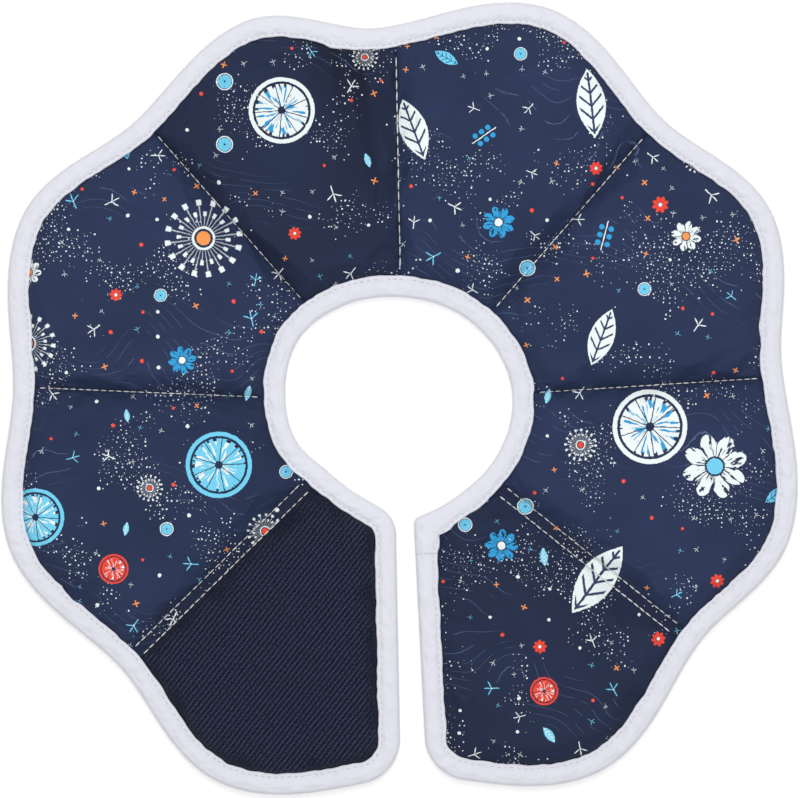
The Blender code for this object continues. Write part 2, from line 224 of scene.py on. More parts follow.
# Turn of each neck row, and the neck's radius there, as a share of the neck radius
NECK_EDGE = (
    (0.0, 1.010), (16.0, 0.918), (32.0, 0.884), (50.0, 0.892), (70.0, 0.990), (96.0, 1.048),
    (124.0, 1.098), (150.0, 1.040), (180.0, 0.980), (222.0, 0.988), (264.0, 1.012),
    (300.0, 0.975), (328.0, 0.962), (342.0, 0.990), (357.0, 1.035),
)

# Name, turn at the rim, turn at the neck, whether the seam is a flat band, the height of its foot
# in millimetres and how long its stitches are, in millimetres
SEAMS = (
    ("seam_band_left", 46.8, 50.7, True, 3.3, 3.6),
    ("seam_2", 92.8, 93.7, False, 2.9, 3.4),
    ("seam_3", 138.0, 136.7, False, 2.8, 3.6),
    ("seam_4", 179.2, 180.0, False, 4.9, 5.0),
    ("seam_5", 222.1, 224.7, False, 3.1, 3.6),
    ("seam_6", 265.7, 264.1, False, 2.4, 3.4),
    ("seam_band_right", 309.1, 310.5, True, 3.0, 3.5),
)

# How much wider than others a petal's edge rolls down: petal, its first or second side, share
WIDE_ROLLS = {(2, 1): 1.15, (7, 0): 1.25, (6, 1): 1.15, (8, 0): 1.6, (3, 0): 0.9, (4, 0): 0.85}

# Petal, turn at the rim, turn at the neck, reach in from the rim (share of the petal's depth),
# depth (share of the padding's rise) and half width (share of the roll) of its soft folds
FOLDS = (
    (4, 168.8, 164.5, 0.85, 0.30, 1.20),
    (4, 169.6, 168.0, 0.52, 0.26, 0.28),
    (4, 172.6, 172.2, 0.80, 0.42, 0.34),
    (4, 176.0, 176.5, 0.95, 0.12, 0.70),
    (5, 186.0, 187.0, 0.40, 0.10, 0.50),
    (8, 322.0, 318.0, 0.55, 0.12, 0.90),
)


# Where the tape bunches or laps and reaches further in: place in the plan, reach and extra width,
# all in millimetres
TAPE_BULGES = (
    (17.5, -60.5, 6.5, 3.4), (-28.0, 161.5, 4.5, 1.7), (-20.5, 160.0, 3.5, 1.2),
    (33.0, -47.0, 6.0, 0.9), (62.0, 12.0, 7.0, 0.6), (-154.0, -63.0, 7.0, 0.9),
)

# Painted shade: how dark each petal's cloth is drawn, as a share of the others, where it lies tilted away from the
# light
PETAL_PAINTED_SHADE = {4: 0.76, 8: 0.74, 2: 0.94}


@dataclass(frozen=True)
class Side:
    """One side of a petal: a straight line from neck to rim, and where the petal starts from it."""

    start: Array
    out: Array
    hand: float
    nearest: float
    taped: bool
    foot: float = 0.0
    roll: float = 1.0

    def past(self, plan: Array) -> Array:
        """How far plan positions lie into the petal from this side's own edge."""
        return self.hand * ((plan - self.start) @ left_of(self.out)) - self.nearest

    def along(self, plan: Array) -> Array:
        """How far out plan positions lie along this side."""
        return (plan - self.start) @ self.out


def curve_through(rows: Array, slopes: Array, at: Array) -> Array:
    """Cubic pieces through (turn, value) rows with the given slopes.

    Between two rows it is their smooth step, plus each end's slope times a hump that is level
    at the other end.
    """
    turns, values = rows[:, 0], rows[:, 1]
    at = np.clip(at, turns[0], turns[-1])
    left = np.clip(np.searchsorted(turns, at, side="right") - 1, 0, len(turns) - 2)
    span = turns[left + 1] - turns[left]
    t = (at - turns[left]) / span
    rise = t * t * (3.0 - 2.0 * t)
    bends = slopes[left] * t * (1.0 - t) ** 2 - slopes[left + 1] * t * t * (1.0 - t)
    return values[left] * (1.0 - rise) + values[left + 1] * rise + span * bends


class Outline:
    """The finished edge of the collar, its seams and the lines along which its pads are cut."""

    def __init__(self, sizes: Sizes) -> None:
        """Traces the edge and centres it.

        Args:
            sizes: The collar's named sizes.
        """
        self.sizes = sizes
        self.centre = np.zeros(2)
        self.runs = self._trace()
        loop = np.concatenate([self.runs[name] for name in ("neck", "left", "rim", "right")])
        self.centre = -(loop.min(axis=0) + loop.max(axis=0)) / 2.0
        self.runs = {name: run + self.centre for name, run in self.runs.items()}
        self.loop = evenly(np.concatenate([loop, loop[:1]]) + self.centre, 1.2 * MM)
        self.cuts = {name: self._inset(name) for name in ("neck", "rim")}

    def at_turn(self, turn: Array | float, radius: Array | float) -> Array:
        """Plan positions at turns in degrees and radii round the neck's centre."""
        angle = np.radians(turn)
        ways = np.stack([-np.sin(angle), -np.cos(angle)], axis=-1)
        return np.asarray(radius)[..., None] * ways + self.centre

    def rim_radius(self, turn: Array | float) -> Array:
        """The scalloped rim: each crest eases into the next valley and is level at both."""
        rows = np.array(RIM_SCALLOPS)
        fall = curve_through(rows, np.zeros(len(rows)), turn)
        return self.sizes.rim_radius - self.sizes.scallop_depth * fall

    def neck_radius(self, turn: Array | float) -> Array:
        """The slightly oval neck, as a cubic through its rows."""
        rows = np.array(NECK_EDGE)
        slopes = np.gradient(rows[:, 1], rows[:, 0])
        return self.sizes.neck_radius * curve_through(rows, slopes, turn)

    def _slit_half_gap(self, radius: float) -> float:
        """Half the slit's width at a radius: it widens evenly from neck to rim."""
        s = self.sizes
        share = (radius - s.neck_radius) / (s.rim_radius - s.neck_radius)
        return (s.slit_neck_gap + (s.slit_rim_gap - s.slit_neck_gap) * share) / 2.0

    def _corner_turn(self, edge: Callable[[float], Array], side: float) -> float:
        """The turn at which an edge curve meets that side of the slit."""
        turn = self.sizes.slit_turn % 360.0 if side < 0.0 else self.sizes.slit_turn
        meeting = turn
        for _ in range(12):
            radius = float(edge(meeting))
            meeting = turn + side * float(np.degrees(np.arcsin(self._slit_half_gap(radius) / radius)))
        return meeting

    def _trace(self) -> dict[str, Array]:
        """The edge as four runs, taken round with the cloth on the right hand.

        Each corner is a conic that starts and ends where a circle of the corner's radius would
        touch the two runs that meet there.
        """
        s = self.sizes
        curves = (self.neck_radius, self.rim_radius)
        turns = [[self._corner_turn(curve, side) for side in (1.0, -1.0)] for curve in curves]
        neck_turns = np.linspace(turns[0][1], turns[0][0], 1800)
        rim_turns = np.linspace(turns[1][0], turns[1][1], 1800)
        neck = self.at_turn(neck_turns, self.neck_radius(neck_turns))
        rim = self.at_turn(rim_turns, self.rim_radius(rim_turns))
        left, right = np.linspace(neck[-1], rim[0], 300), np.linspace(rim[-1], neck[0], 300)
        runs = [neck, left, rim, right]
        radii = [s.neck_corner, s.rim_corner, s.rim_corner, s.lapped_corner]
        reaches, weights = [], []
        for i, radius in enumerate(radii):
            along, away = unit(runs[i][-1] - runs[i][-2]), unit(runs[i - 3][1] - runs[i - 3][0])
            half_turn = np.arccos(np.clip(along @ away, -1.0, 1.0)) / 2.0
            reaches.append(radius * np.tan(half_turn))
            weights.append(np.cos(half_turn))
        short = [self.trimmed(run, reaches[i - 1], reaches[i]) for i, run in enumerate(runs)]
        arcs = []
        for i, run in enumerate(runs):
            start, corner, end = short[i][-1], run[-1], short[i - 3][0]
            count = int(2.0 * reaches[i] / s.trace_step) + 6
            t = np.linspace(0.0, 1.0, count)[1:-1, None]
            a, b, c = (1.0 - t) ** 2, 2.0 * t * (1.0 - t) * weights[i], t * t
            arcs.append((a * start + b * corner + c * end) / (a + b + c))
        return {
            "neck": np.concatenate([arcs[3], short[0], arcs[0]]),
            "left": short[1],
            "rim": np.concatenate([arcs[1], short[2], arcs[2]]),
            "right": short[3],
        }

    def trimmed(self, points: Array, off_start: float, off_end: float) -> Array:
        """An open line shortened at its ends, traced again at the tracing step."""
        total = lengths_along(points)[-1]
        count = max(2, int(round((total - off_start - off_end) / self.sizes.trace_step)))
        return at_lengths(points, np.linspace(off_start, total - off_end, count))

    def _inset(self, name: str) -> Array:
        """A run of the edge moved into the cloth by the tape's fold: where the pads are cut."""
        line = self.runs[name]
        inward = -left_of(unit(np.gradient(line, axis=0)))
        return walk_in(line, inward, self.sizes.pad_inset, self.loop)

    def seam_line(self, rim_turn: float, neck_turn: float) -> tuple[Array, Array]:
        """A seam as the point where it leaves the neck and its direction towards the rim."""
        start = self.at_turn(neck_turn, self.neck_radius(neck_turn))
        end = self.at_turn(rim_turn, self.rim_radius(rim_turn))
        return start, unit(end - start)

    def swelling(self, plan: Array) -> Array:
        """How much wider than its plain width the tape lies near plan positions.

        It is a sum of bell shapes at the bulges and of two lengths of slow unevenness.
        """
        extra = 0.26 * MM * Waves(15.0 * MM, 61).at(plan) + 0.16 * MM * Waves(6.0 * MM, 62).at(plan)
        for x, y, reach, more in TAPE_BULGES:
            away = np.linalg.norm(plan - np.array([x, y]) * MM, axis=-1)
            extra = extra + more * MM * np.exp(-((away / (reach * MM)) ** 2))
        return extra

    def sides(self, number: int) -> tuple[Side, Side]:
        """The two sides of a petal, first and second clockwise from the slit."""
        s = self.sizes
        found = []
        for index, hand in ((number - 2, -1.0), (number - 1, 1.0)):
            if 0 <= index < len(SEAMS):
                _, rim_turn, neck_turn, banded, foot, _ = SEAMS[index]
                start, out = self.seam_line(rim_turn, neck_turn)
                nearest = s.band_width / 2.0 if banded else -0.05 * MM
                roll = WIDE_ROLLS.get((number, int(hand > 0.0)), 1.0)
                found.append(Side(start, out, hand, nearest, False, foot * MM, roll))
            else:
                run = self.runs["left"] if index < 0 else self.runs["right"][::-1]
                found.append(Side(run[0], unit(run[-1] - run[0]), hand, s.pad_inset, True))
        return found[0], found[1]

    def crossing(self, line: Array, side: Side, offset: float) -> tuple[Array, float]:
        """Where a line is met by the straight line that runs out beside a petal's side.

        Args:
            line: The line to be met, as plan positions.
            side: The side that the straight line runs beside.
            offset: How far into the petal it runs, from the side's own line.

        Returns:
            The place, and its index in the line.
        """
        beside = (line - side.start) @ left_of(side.out) - side.hand * offset
        ahead = side.along(line) > -self.sizes.neck_radius
        changes = np.flatnonzero((beside[:-1] * beside[1:] < 0.0) & ahead[:-1])
        if len(changes) == 0:
            nearest = int(np.argmin(np.where(ahead, np.abs(beside), np.inf)))
            return line[nearest], float(nearest)
        first = changes[0]
        share = beside[first] / (beside[first] - beside[first + 1])
        return line[first] + share * (line[first + 1] - line[first]), float(first + share)


# Meshes


def signed_volume(points: Array, quads: Array) -> float:
    """Six times the volume inside a closed mesh of four-cornered faces, below 0 if inside out."""
    a, b, c, d = (points[quads[:, i]] for i in range(4))
    return float((a * np.cross(b, c)).sum() + (a * np.cross(c, d)).sum())


def grid_quads(rows: int, columns: int, wrap: bool = False) -> Array:
    """The four corners of each face of a grid, whose columns may close into rings."""
    index = np.arange(rows * columns).reshape(rows, columns)
    if wrap:
        index = np.concatenate([index, index[:, :1]], axis=1)
    corners = [index[:-1, :-1], index[:-1, 1:], index[1:, 1:], index[1:, :-1]]
    return np.stack(corners, axis=-1).reshape(-1, 4)


@dataclass
class Surface:
    """A mesh in the making: its points, its faces by number of corners, and values per point."""

    points: Array
    faces: list[Array]
    values: dict[str, Array] = field(default_factory=dict)
    finishes: Array | None = None

    def piece(self, name: str) -> bpy.types.Object:
        """Puts the points and faces into a new mesh object.

        Args:
            name: The name of the object and its mesh.

        Returns:
            The new object, smooth shaded and linked to the scene.
        """
        mesh = bpy.data.meshes.new(name)
        corners = np.concatenate([rows.ravel() for rows in self.faces])
        counts = np.concatenate([np.full(len(rows), rows.shape[1]) for rows in self.faces])
        mesh.vertices.add(len(self.points))
        mesh.vertices.foreach_set("co", self.points.astype(np.float32).ravel())
        mesh.loops.add(len(corners))
        mesh.loops.foreach_set("vertex_index", corners.astype(np.int32))
        mesh.polygons.add(len(counts))
        mesh.polygons.foreach_set("loop_start", np.concatenate([[0], np.cumsum(counts)[:-1]]))
        mesh.polygons.foreach_set("use_smooth", np.ones(len(counts), dtype=bool))
        if self.finishes is not None:
            mesh.polygons.foreach_set("material_index", self.finishes.astype(np.int32))
        for key, values in self.values.items():
            store = mesh.attributes.new(key, "FLOAT", "POINT")
            store.data.foreach_set("value", values.astype(np.float32).ravel())
        mesh.update()
        mesh.validate()
        made = bpy.data.objects.new(name, mesh)
        bpy.context.scene.collection.objects.link(made)
        return made


def closed_form(top: Array, underside: Array, values: dict[str, Array]) -> Surface:
    """A closed body between two grids of points that share their plan of rows and columns.

    Args:
        top: Points of the upper face, as rows, columns and coordinates.
        underside: Points of the lower face, in the same order.
        values: Values per grid point, kept on both faces.

    Returns:
        The surface, with finish 0 on the upper face and the sides and 1 on the lower face.
    """
    rows, columns = top.shape[:2]
    count = rows * columns
    upper = grid_quads(rows, columns)
    index = np.arange(count).reshape(rows, columns)
    ring = np.concatenate([index[0, :-1], index[:-1, -1], index[-1, :0:-1], index[:0:-1, 0]])
    ahead = np.roll(ring, -1)
    walls = np.stack([ahead, ring, ring + count, ahead + count], axis=-1)
    quads = np.concatenate([upper, walls, upper[:, ::-1] + count])
    points = np.concatenate([top.reshape(-1, 3), underside.reshape(-1, 3)])
    if signed_volume(points, quads) < 0.0:
        quads = quads[:, ::-1]
    finishes = np.concatenate([np.zeros(len(upper) + len(walls)), np.ones(len(upper))])
    both = {key: np.concatenate([value.ravel(), value.ravel()]) for key, value in values.items()}
    return Surface(points, [quads], both, finishes)


def worn(piece: bpy.types.Object, slot: str, *materials: bpy.types.Material) -> bpy.types.Object:
    """Gives a piece its finishes, and lets it ride on the collar.

    Args:
        piece: The new piece.
        slot: Not used.
        materials: Its materials, in the order of its faces' numbers.

    Returns:
        The same piece.
    """
    for material in materials:
        piece.data.materials.append(material)
    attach(piece, BODY)
    return piece


# Finishes


class Term:
    """A number in a material's node tree, which formulas can be written with."""

    def __init__(self, graph: "Graph", socket: Socket) -> None:
        """Wraps the socket that gives the number."""
        self.graph, self.socket = graph, socket

    def __add__(self, other: "Term | float") -> "Term":
        """Sum."""
        return self.graph.math("ADD", self, other)

    def __sub__(self, other: "Term | float") -> "Term":
        """Difference."""
        return self.graph.math("SUBTRACT", self, other)

    def __rsub__(self, other: float) -> "Term":
        """Difference from a plain number."""
        return self.graph.math("SUBTRACT", other, self)

    def __mul__(self, other: "Term | float") -> "Term":
        """Product."""
        return self.graph.math("MULTIPLY", self, other)

    def __truediv__(self, other: "Term | float") -> "Term":
        """Quotient."""
        return self.graph.math("DIVIDE", self, other)

    def __pow__(self, other: "Term | float") -> "Term":
        """Power."""
        return self.graph.math("POWER", self, other)

    def below(self, limit: "Term | float", blur: float) -> "Term":
        """1 where the number is below the limit and 0 above it, over a narrow blur."""
        return self.graph.math("DIVIDE", self.graph.math("SUBTRACT", limit, self), blur, clamp=True)

    def between(self, low: float, high: float) -> "Term":
        """1 where the number lies between two others, otherwise 0."""
        over = self.graph.math("GREATER_THAN", self, low)
        return over * self.graph.math("LESS_THAN", self, high)


class Graph:
    """The node tree of one material, with short ways to make its nodes."""

    def __init__(self, name: str) -> None:
        """Starts a material with its shader and output.

        Args:
            name: The material's name.
        """
        self.material = bpy.data.materials.new(name)
        self.material.use_nodes = True
        self.tree = self.material.node_tree
        self.shader = self.tree.nodes["Principled BSDF"]

    def node(self, kind: str, inputs: dict[str, object] | None = None, **settings: object) -> bpy.types.Node:
        """A new node with settings, and values or links for its inputs.

        Args:
            kind: The node's type, without its ShaderNode start.
            inputs: Values, terms or sockets by input name or number.
            settings: Attributes of the node.

        Returns:
            The node.
        """
        made = self.tree.nodes.new("ShaderNode" + kind)
        for key, value in settings.items():
            setattr(made, key, value)
        for key, value in (inputs or {}).items():
            self.give(made.inputs[key], value)
        return made

    def give(self, target: Socket, value: object) -> None:
        """Links a term or socket to an input, or sets the input's own value."""
        if isinstance(value, Term):
            value = value.socket
        if isinstance(value, bpy.types.NodeSocket):
            self.tree.links.new(value, target)
        else:
            target.default_value = value

    def math(self, operation: str, *values: "Term | float", clamp: bool = False) -> Term:
        """A sum or other operation on one to three numbers."""
        made = self.node("Math", operation=operation, use_clamp=clamp)
        for target, value in zip(made.inputs, values):
            self.give(target, value)
        return Term(self, made.outputs[0])

    def number(self, kind: str, output: str, inputs: dict[str, object], **settings: object) -> Term:
        """One number from a new node."""
        return Term(self, self.node(kind, inputs, **settings).outputs[output])

    def plan(
        self,
        size: float,
        shift: tuple[float, float] = (0.0, 0.0),
        turn: float = 0.0,
        place: Socket | None = None,
        stretch: float = 1.0,
    ) -> Socket:
        """Flat coordinates in lengths of `size`, shifted and turned.

        Args:
            size: The length that becomes 1.
            shift: What is added to the result.
            turn: How far the pattern is turned.
            place: The coordinates to start from, or the object's own.
            stretch: How many times longer a unit is along the first coordinate.

        Returns:
            The coordinates.
        """
        if place is None:
            place = self.node("TexCoord").outputs["Object"]
        turned = {"Vector": place, "Rotation": (0.0, 0.0, turn)}
        turned["Scale"] = (1.0, 1.0, 0.0)
        flat = {"Vector": self.node("Mapping", turned).outputs[0] if turn else place}
        flat["Location"] = (*shift, 0.0)
        flat["Scale"] = (1.0 / (size * stretch), 1.0 / size, 0.0)
        return self.node("Mapping", flat).outputs[0]

    def noise(self, vector: Socket, detail: float = 0.0) -> Term:
        """Smooth noise from 0 to 1 with features about one unit across."""
        return self.number("TexNoise", "Fac", {"Vector": vector, "Scale": 1.0, "Detail": detail})

    def parts(self, vector: Socket) -> tuple[Term, Term]:
        """The first two coordinates of a vector."""
        split = self.node("SeparateXYZ", {0: vector})
        return Term(self, split.outputs[0]), Term(self, split.outputs[1])

    def mix(self, share: Term, below: object, above: object) -> Socket:
        """One colour painted over another by a share."""
        made = self.node("Mix", data_type="RGBA")
        self.give(made.inputs[0], share)
        for target, value in ((made.inputs[6], below), (made.inputs[7], above)):
            self.give(target, (*value, 1.0) if isinstance(value, tuple) and len(value) == 3 else value)
        return made.outputs[2]

    def bump(self, height: Term, depth: float, under: Socket | None = None) -> Socket:
        """A normal raised by a height, whose full rise is `depth` metres."""
        inputs = {"Height": height, "Distance": depth, "Strength": 1.0}
        if under is not None:
            inputs["Normal"] = under
        return self.node("Bump", inputs).outputs[0]

    def finish(self, **inputs: object) -> bpy.types.Material:
        """Sets the shader's own sockets and returns the material.

        Args:
            inputs: Values or links by socket name, with _ for each space.

        Returns:
            The finished material.
        """
        for key, value in inputs.items():
            if isinstance(value, tuple) and len(value) == 3:
                value = (*value, 1.0)
            self.give(self.shader.inputs[key.replace("_", " ")], value)
        return self.material


@dataclass(frozen=True)
class Twill:
    """A fine diagonal weave: ribs at an angle, broken by the threads that cross them."""

    pitch: float = 1.25 * MM
    turn: float = -0.45
    depth: float = 0.08 * MM

    def height(self, graph: Graph) -> Term:
        """The weave's height from 0 to 1: raised cosine ribs times raised cosine threads."""
        across, along = graph.parts(graph.plan(self.pitch, turn=self.turn))
        rib = graph.math("SINE", across * (2.0 * np.pi)) * 0.5 + 0.5
        thread = graph.math("SINE", along * (2.6 * np.pi) + across * 3.0) * 0.2 + 0.8
        return rib * thread


class Motif(Enum):
    """The plain garden motifs of the print."""

    BLOOM = "bloom"
    SEED_HEAD = "seed head"
    SLICE = "slice"
    LEAF = "leaf"
    BERRIES = "berries"
    SPRIG = "sprig"
    PLUS = "plus"
    DOT = "dot"


WHITE = (0.83, 0.90, 0.90)
PALE_BLUE = (0.17, 0.62, 0.86)
SKY_BLUE = (0.03, 0.34, 0.68)
RED_ORANGE = (0.86, 0.065, 0.035)
ORANGE = (0.92, 0.32, 0.09)
LINE_BLUE = (0.10, 0.14, 0.26)


@dataclass(frozen=True)
class Scatter:
    """One layer of motifs: how far apart they lie, how large they are and which they are.

    A kind of motif is its shape, its main colour and its accent colour.
    """

    spacing: float
    radius: float
    shift: tuple[float, float]
    kinds: tuple[tuple[Motif, Colour, Colour], ...]
    grain: float = 0.0
    loose: float = 0.72

    def cells(self, graph: Graph, here: Socket) -> bpy.types.Node:
        """The scattered middles: each place is given its nearest one."""
        inputs = {"Vector": here, "Scale": 1.0, "Randomness": self.loose}
        return graph.node("TexVoronoi", inputs, voronoi_dimensions="2D")


@dataclass(frozen=True)
class GardenPrint:
    """A scattered print of plain blooms, leaves, fruit and dots on dark blue ground."""

    ground: Colour = (0.0185, 0.0300, 0.0780)
    scatters: tuple[Scatter, ...] = (
        Scatter(
            80.0 * MM, 19.0 * MM, (0.31, 0.72),
            (
                (Motif.BLOOM, WHITE, PALE_BLUE),
                (Motif.SEED_HEAD, WHITE, ORANGE),
                (Motif.SLICE, PALE_BLUE, WHITE),
                (Motif.LEAF, WHITE, (0.03, 0.05, 0.12)),
                (Motif.BLOOM, RED_ORANGE, WHITE),
                (Motif.SLICE, WHITE, SKY_BLUE),
            ),
            grain=0.55,
        ),
        Scatter(
            49.0 * MM, 8.6 * MM, (4.7, 1.9),
            (
                (Motif.SLICE, RED_ORANGE, WHITE),
                (Motif.LEAF, PALE_BLUE, (0.02, 0.10, 0.25)),
                (Motif.BLOOM, WHITE, ORANGE),
                (Motif.SEED_HEAD, WHITE, RED_ORANGE),
                (Motif.BERRIES, SKY_BLUE, WHITE),
                (Motif.BLOOM, SKY_BLUE, WHITE),
            ),
            grain=0.5,
        ),
        Scatter(
            27.0 * MM, 4.4 * MM, (9.1, 3.3),
            (
                (Motif.SPRIG, WHITE, WHITE),
                (Motif.SLICE, WHITE, PALE_BLUE),
                (Motif.SPRIG, WHITE, WHITE),
                (Motif.BLOOM, RED_ORANGE, WHITE),
                (Motif.LEAF, PALE_BLUE, WHITE),
                (Motif.SPRIG, PALE_BLUE, WHITE),
            ),
        ),
        Scatter(
            13.5 * MM, 1.9 * MM, (2.2, 8.4),
            (
                (Motif.SPRIG, WHITE, WHITE),
                (Motif.DOT, WHITE, WHITE),
                (Motif.SPRIG, WHITE, WHITE),
                (Motif.PLUS, ORANGE, ORANGE),
                (Motif.SPRIG, PALE_BLUE, WHITE),
                (Motif.DOT, RED_ORANGE, WHITE),
            ),
        ),
    )
    dot_spacing: float = 1.9 * MM
    blur: float = 0.15 * MM
    rough: float = 0.55 * MM

    def colour(self, graph: Graph) -> Socket:
        """The print's colour everywhere: each scatter is painted over the ground in turn.

        The place is first nudged by fine noise, which roughens every drawn edge. The piece's painted shade, stored
        on it as an attribute, darkens the ground alone.
        """
        nudge = graph.node("TexNoise", {"Vector": graph.plan(1.3 * MM), "Scale": 1.0, "Detail": 1.0})
        inputs = {0: nudge.outputs["Color"], 1: (self.rough,) * 3}
        inputs[2] = graph.node("TexCoord").outputs["Object"]
        place = graph.node("VectorMath", inputs, operation="MULTIPLY_ADD").outputs[0]
        slow = graph.noise(graph.plan(46.0 * MM), 2.0)
        painted = graph.mix(slow, tuple(0.70 * c for c in self.ground), tuple(1.35 * c for c in self.ground))
        # Painted shade stored on the piece, which darkens the ground
        painted_shade = graph.number("Attribute", "Fac", {}, attribute_name="painted_shade")
        inputs = {"Vector": painted, "Scale": painted_shade}
        painted = graph.node("VectorMath", inputs, operation="SCALE").outputs[0]
        painted = graph.mix(self._ripples(graph, place), painted, LINE_BLUE)
        painted = graph.mix(self._dust(graph, place), painted, WHITE)
        for index in reversed(range(len(self.scatters))):
            painted = self._paint(graph, index, painted, place)
        return painted

    def _dust(self, graph: Graph, place: Socket) -> Term:
        """Fine dots of many sizes: each shows where its chance is below a cloud's thickness."""
        here = graph.plan(self.dot_spacing, place=place)
        inputs = {"Vector": here, "Scale": 1.0, "Randomness": 1.0}
        cells = graph.node("TexVoronoi", inputs, voronoi_dimensions="2D")
        chance = Term(graph, graph.node("SeparateColor", {0: cells.outputs["Color"]}).outputs[0])
        size = Term(graph, graph.node("SeparateColor", {0: cells.outputs["Color"]}).outputs[1])
        cloud = graph.noise(graph.plan(34.0 * MM, (3.1, 7.7)), 2.0)
        thick = graph.math("MULTIPLY", cloud - 0.505, 8.0, clamp=True)
        shown = graph.math("LESS_THAN", chance, thick)
        far = Term(graph, cells.outputs["Distance"])
        radius = size * size * 0.15 + 0.075
        return far.below(radius, 0.035) * shown

    def _ripples(self, graph: Graph, place: Socket) -> Term:
        """Thin broken lines: a sine's zero lines, bent by slow noise and shown in long patches."""
        bend = graph.noise(graph.plan(52.0 * MM, (5.0, 1.0)), 1.0)
        x, y = graph.parts(graph.plan(1.0, place=place, turn=0.25))
        swing = graph.math("SINE", x / (17.0 * MM)) * 0.5
        wave = graph.math("SINE", y / (1.55 * MM) + swing * 4.0 + bend * 40.0)
        line = graph.math("ABSOLUTE", wave).below(0.10, 0.10)
        patch = (graph.noise(graph.plan(38.0 * MM, (8.0, 2.0), stretch=1.7)) - 0.545) * 14.0
        broken = (graph.noise(graph.plan(5.0 * MM, stretch=3.0)) - 0.42) * 14.0
        shown = graph.math("MULTIPLY", patch, 1.0, clamp=True) * graph.math("MULTIPLY", broken, 1.0, clamp=True)
        return line * shown

    def _paint(self, graph: Graph, index: int, under: Socket, place: Socket) -> Socket:
        """One scatter painted over what lies under it.

        A motif is left out where its middle lies too near a middle of a larger scatter.

        Args:
            graph: The material's node tree.
            index: Which scatter, from the largest.
            under: The colour under it.
            place: The roughened coordinates.

        Returns:
            The colour with the scatter painted on.
        """
        scatter = self.scatters[index]
        here = graph.plan(scatter.spacing, scatter.shift, place=place)
        cells = scatter.cells(graph, here)
        middle, chance = cells.outputs["Position"], cells.outputs["Color"]
        offset = graph.node("VectorMath", {0: here, 1: middle}, operation="SUBTRACT").outputs[0]
        split = graph.node("SeparateColor", {0: chance})
        kind, size, turn = (Term(graph, split.outputs[i]) for i in range(3))
        inputs = {"Vector": offset, "Angle": turn * (2.0 * np.pi)}
        turned = graph.node("VectorRotate", inputs, rotation_type="Z_AXIS").outputs[0]
        x, y = graph.parts(turned)
        lengths = (1.45 - size * 0.45) * (scatter.spacing / scatter.radius)
        drawing = Drawing(graph, x * lengths, y * lengths, self.blur / scatter.radius)
        free = self._free(graph, index, middle)
        if scatter.grain:
            drawing.roughen(scatter.grain)
        painted = under
        for i, (motif, main, accent) in enumerate(scatter.kinds):
            chosen = kind.between(i / len(scatter.kinds), (i + 1) / len(scatter.kinds)) * free
            body, detail = drawing.masks(motif)
            painted = graph.mix(body * chosen, painted, main)
            painted = graph.mix(detail * chosen, painted, accent)
        return painted

    def _free(self, graph: Graph, index: int, middle: Socket) -> Term:
        """1 for a motif whose middle is clear of all larger motifs, otherwise 0."""
        scatter = self.scatters[index]
        free = graph.math("ADD", 1.0, 0.0)
        for larger in self.scatters[:index]:
            scale = scatter.spacing / larger.spacing
            back = {"Vector": middle, "Scale": (scale, scale, 0.0)}
            back["Location"] = tuple(
                b - a * scale for a, b in zip((*scatter.shift, 0.0), (*larger.shift, 0.0))
            )
            cells = larger.cells(graph, graph.node("Mapping", back).outputs[0])
            reach = (larger.radius * 1.02 + scatter.radius * 0.9) / larger.spacing
            far = Term(graph, cells.outputs["Distance"])
            free = free * graph.math("GREATER_THAN", far, reach)
        return free


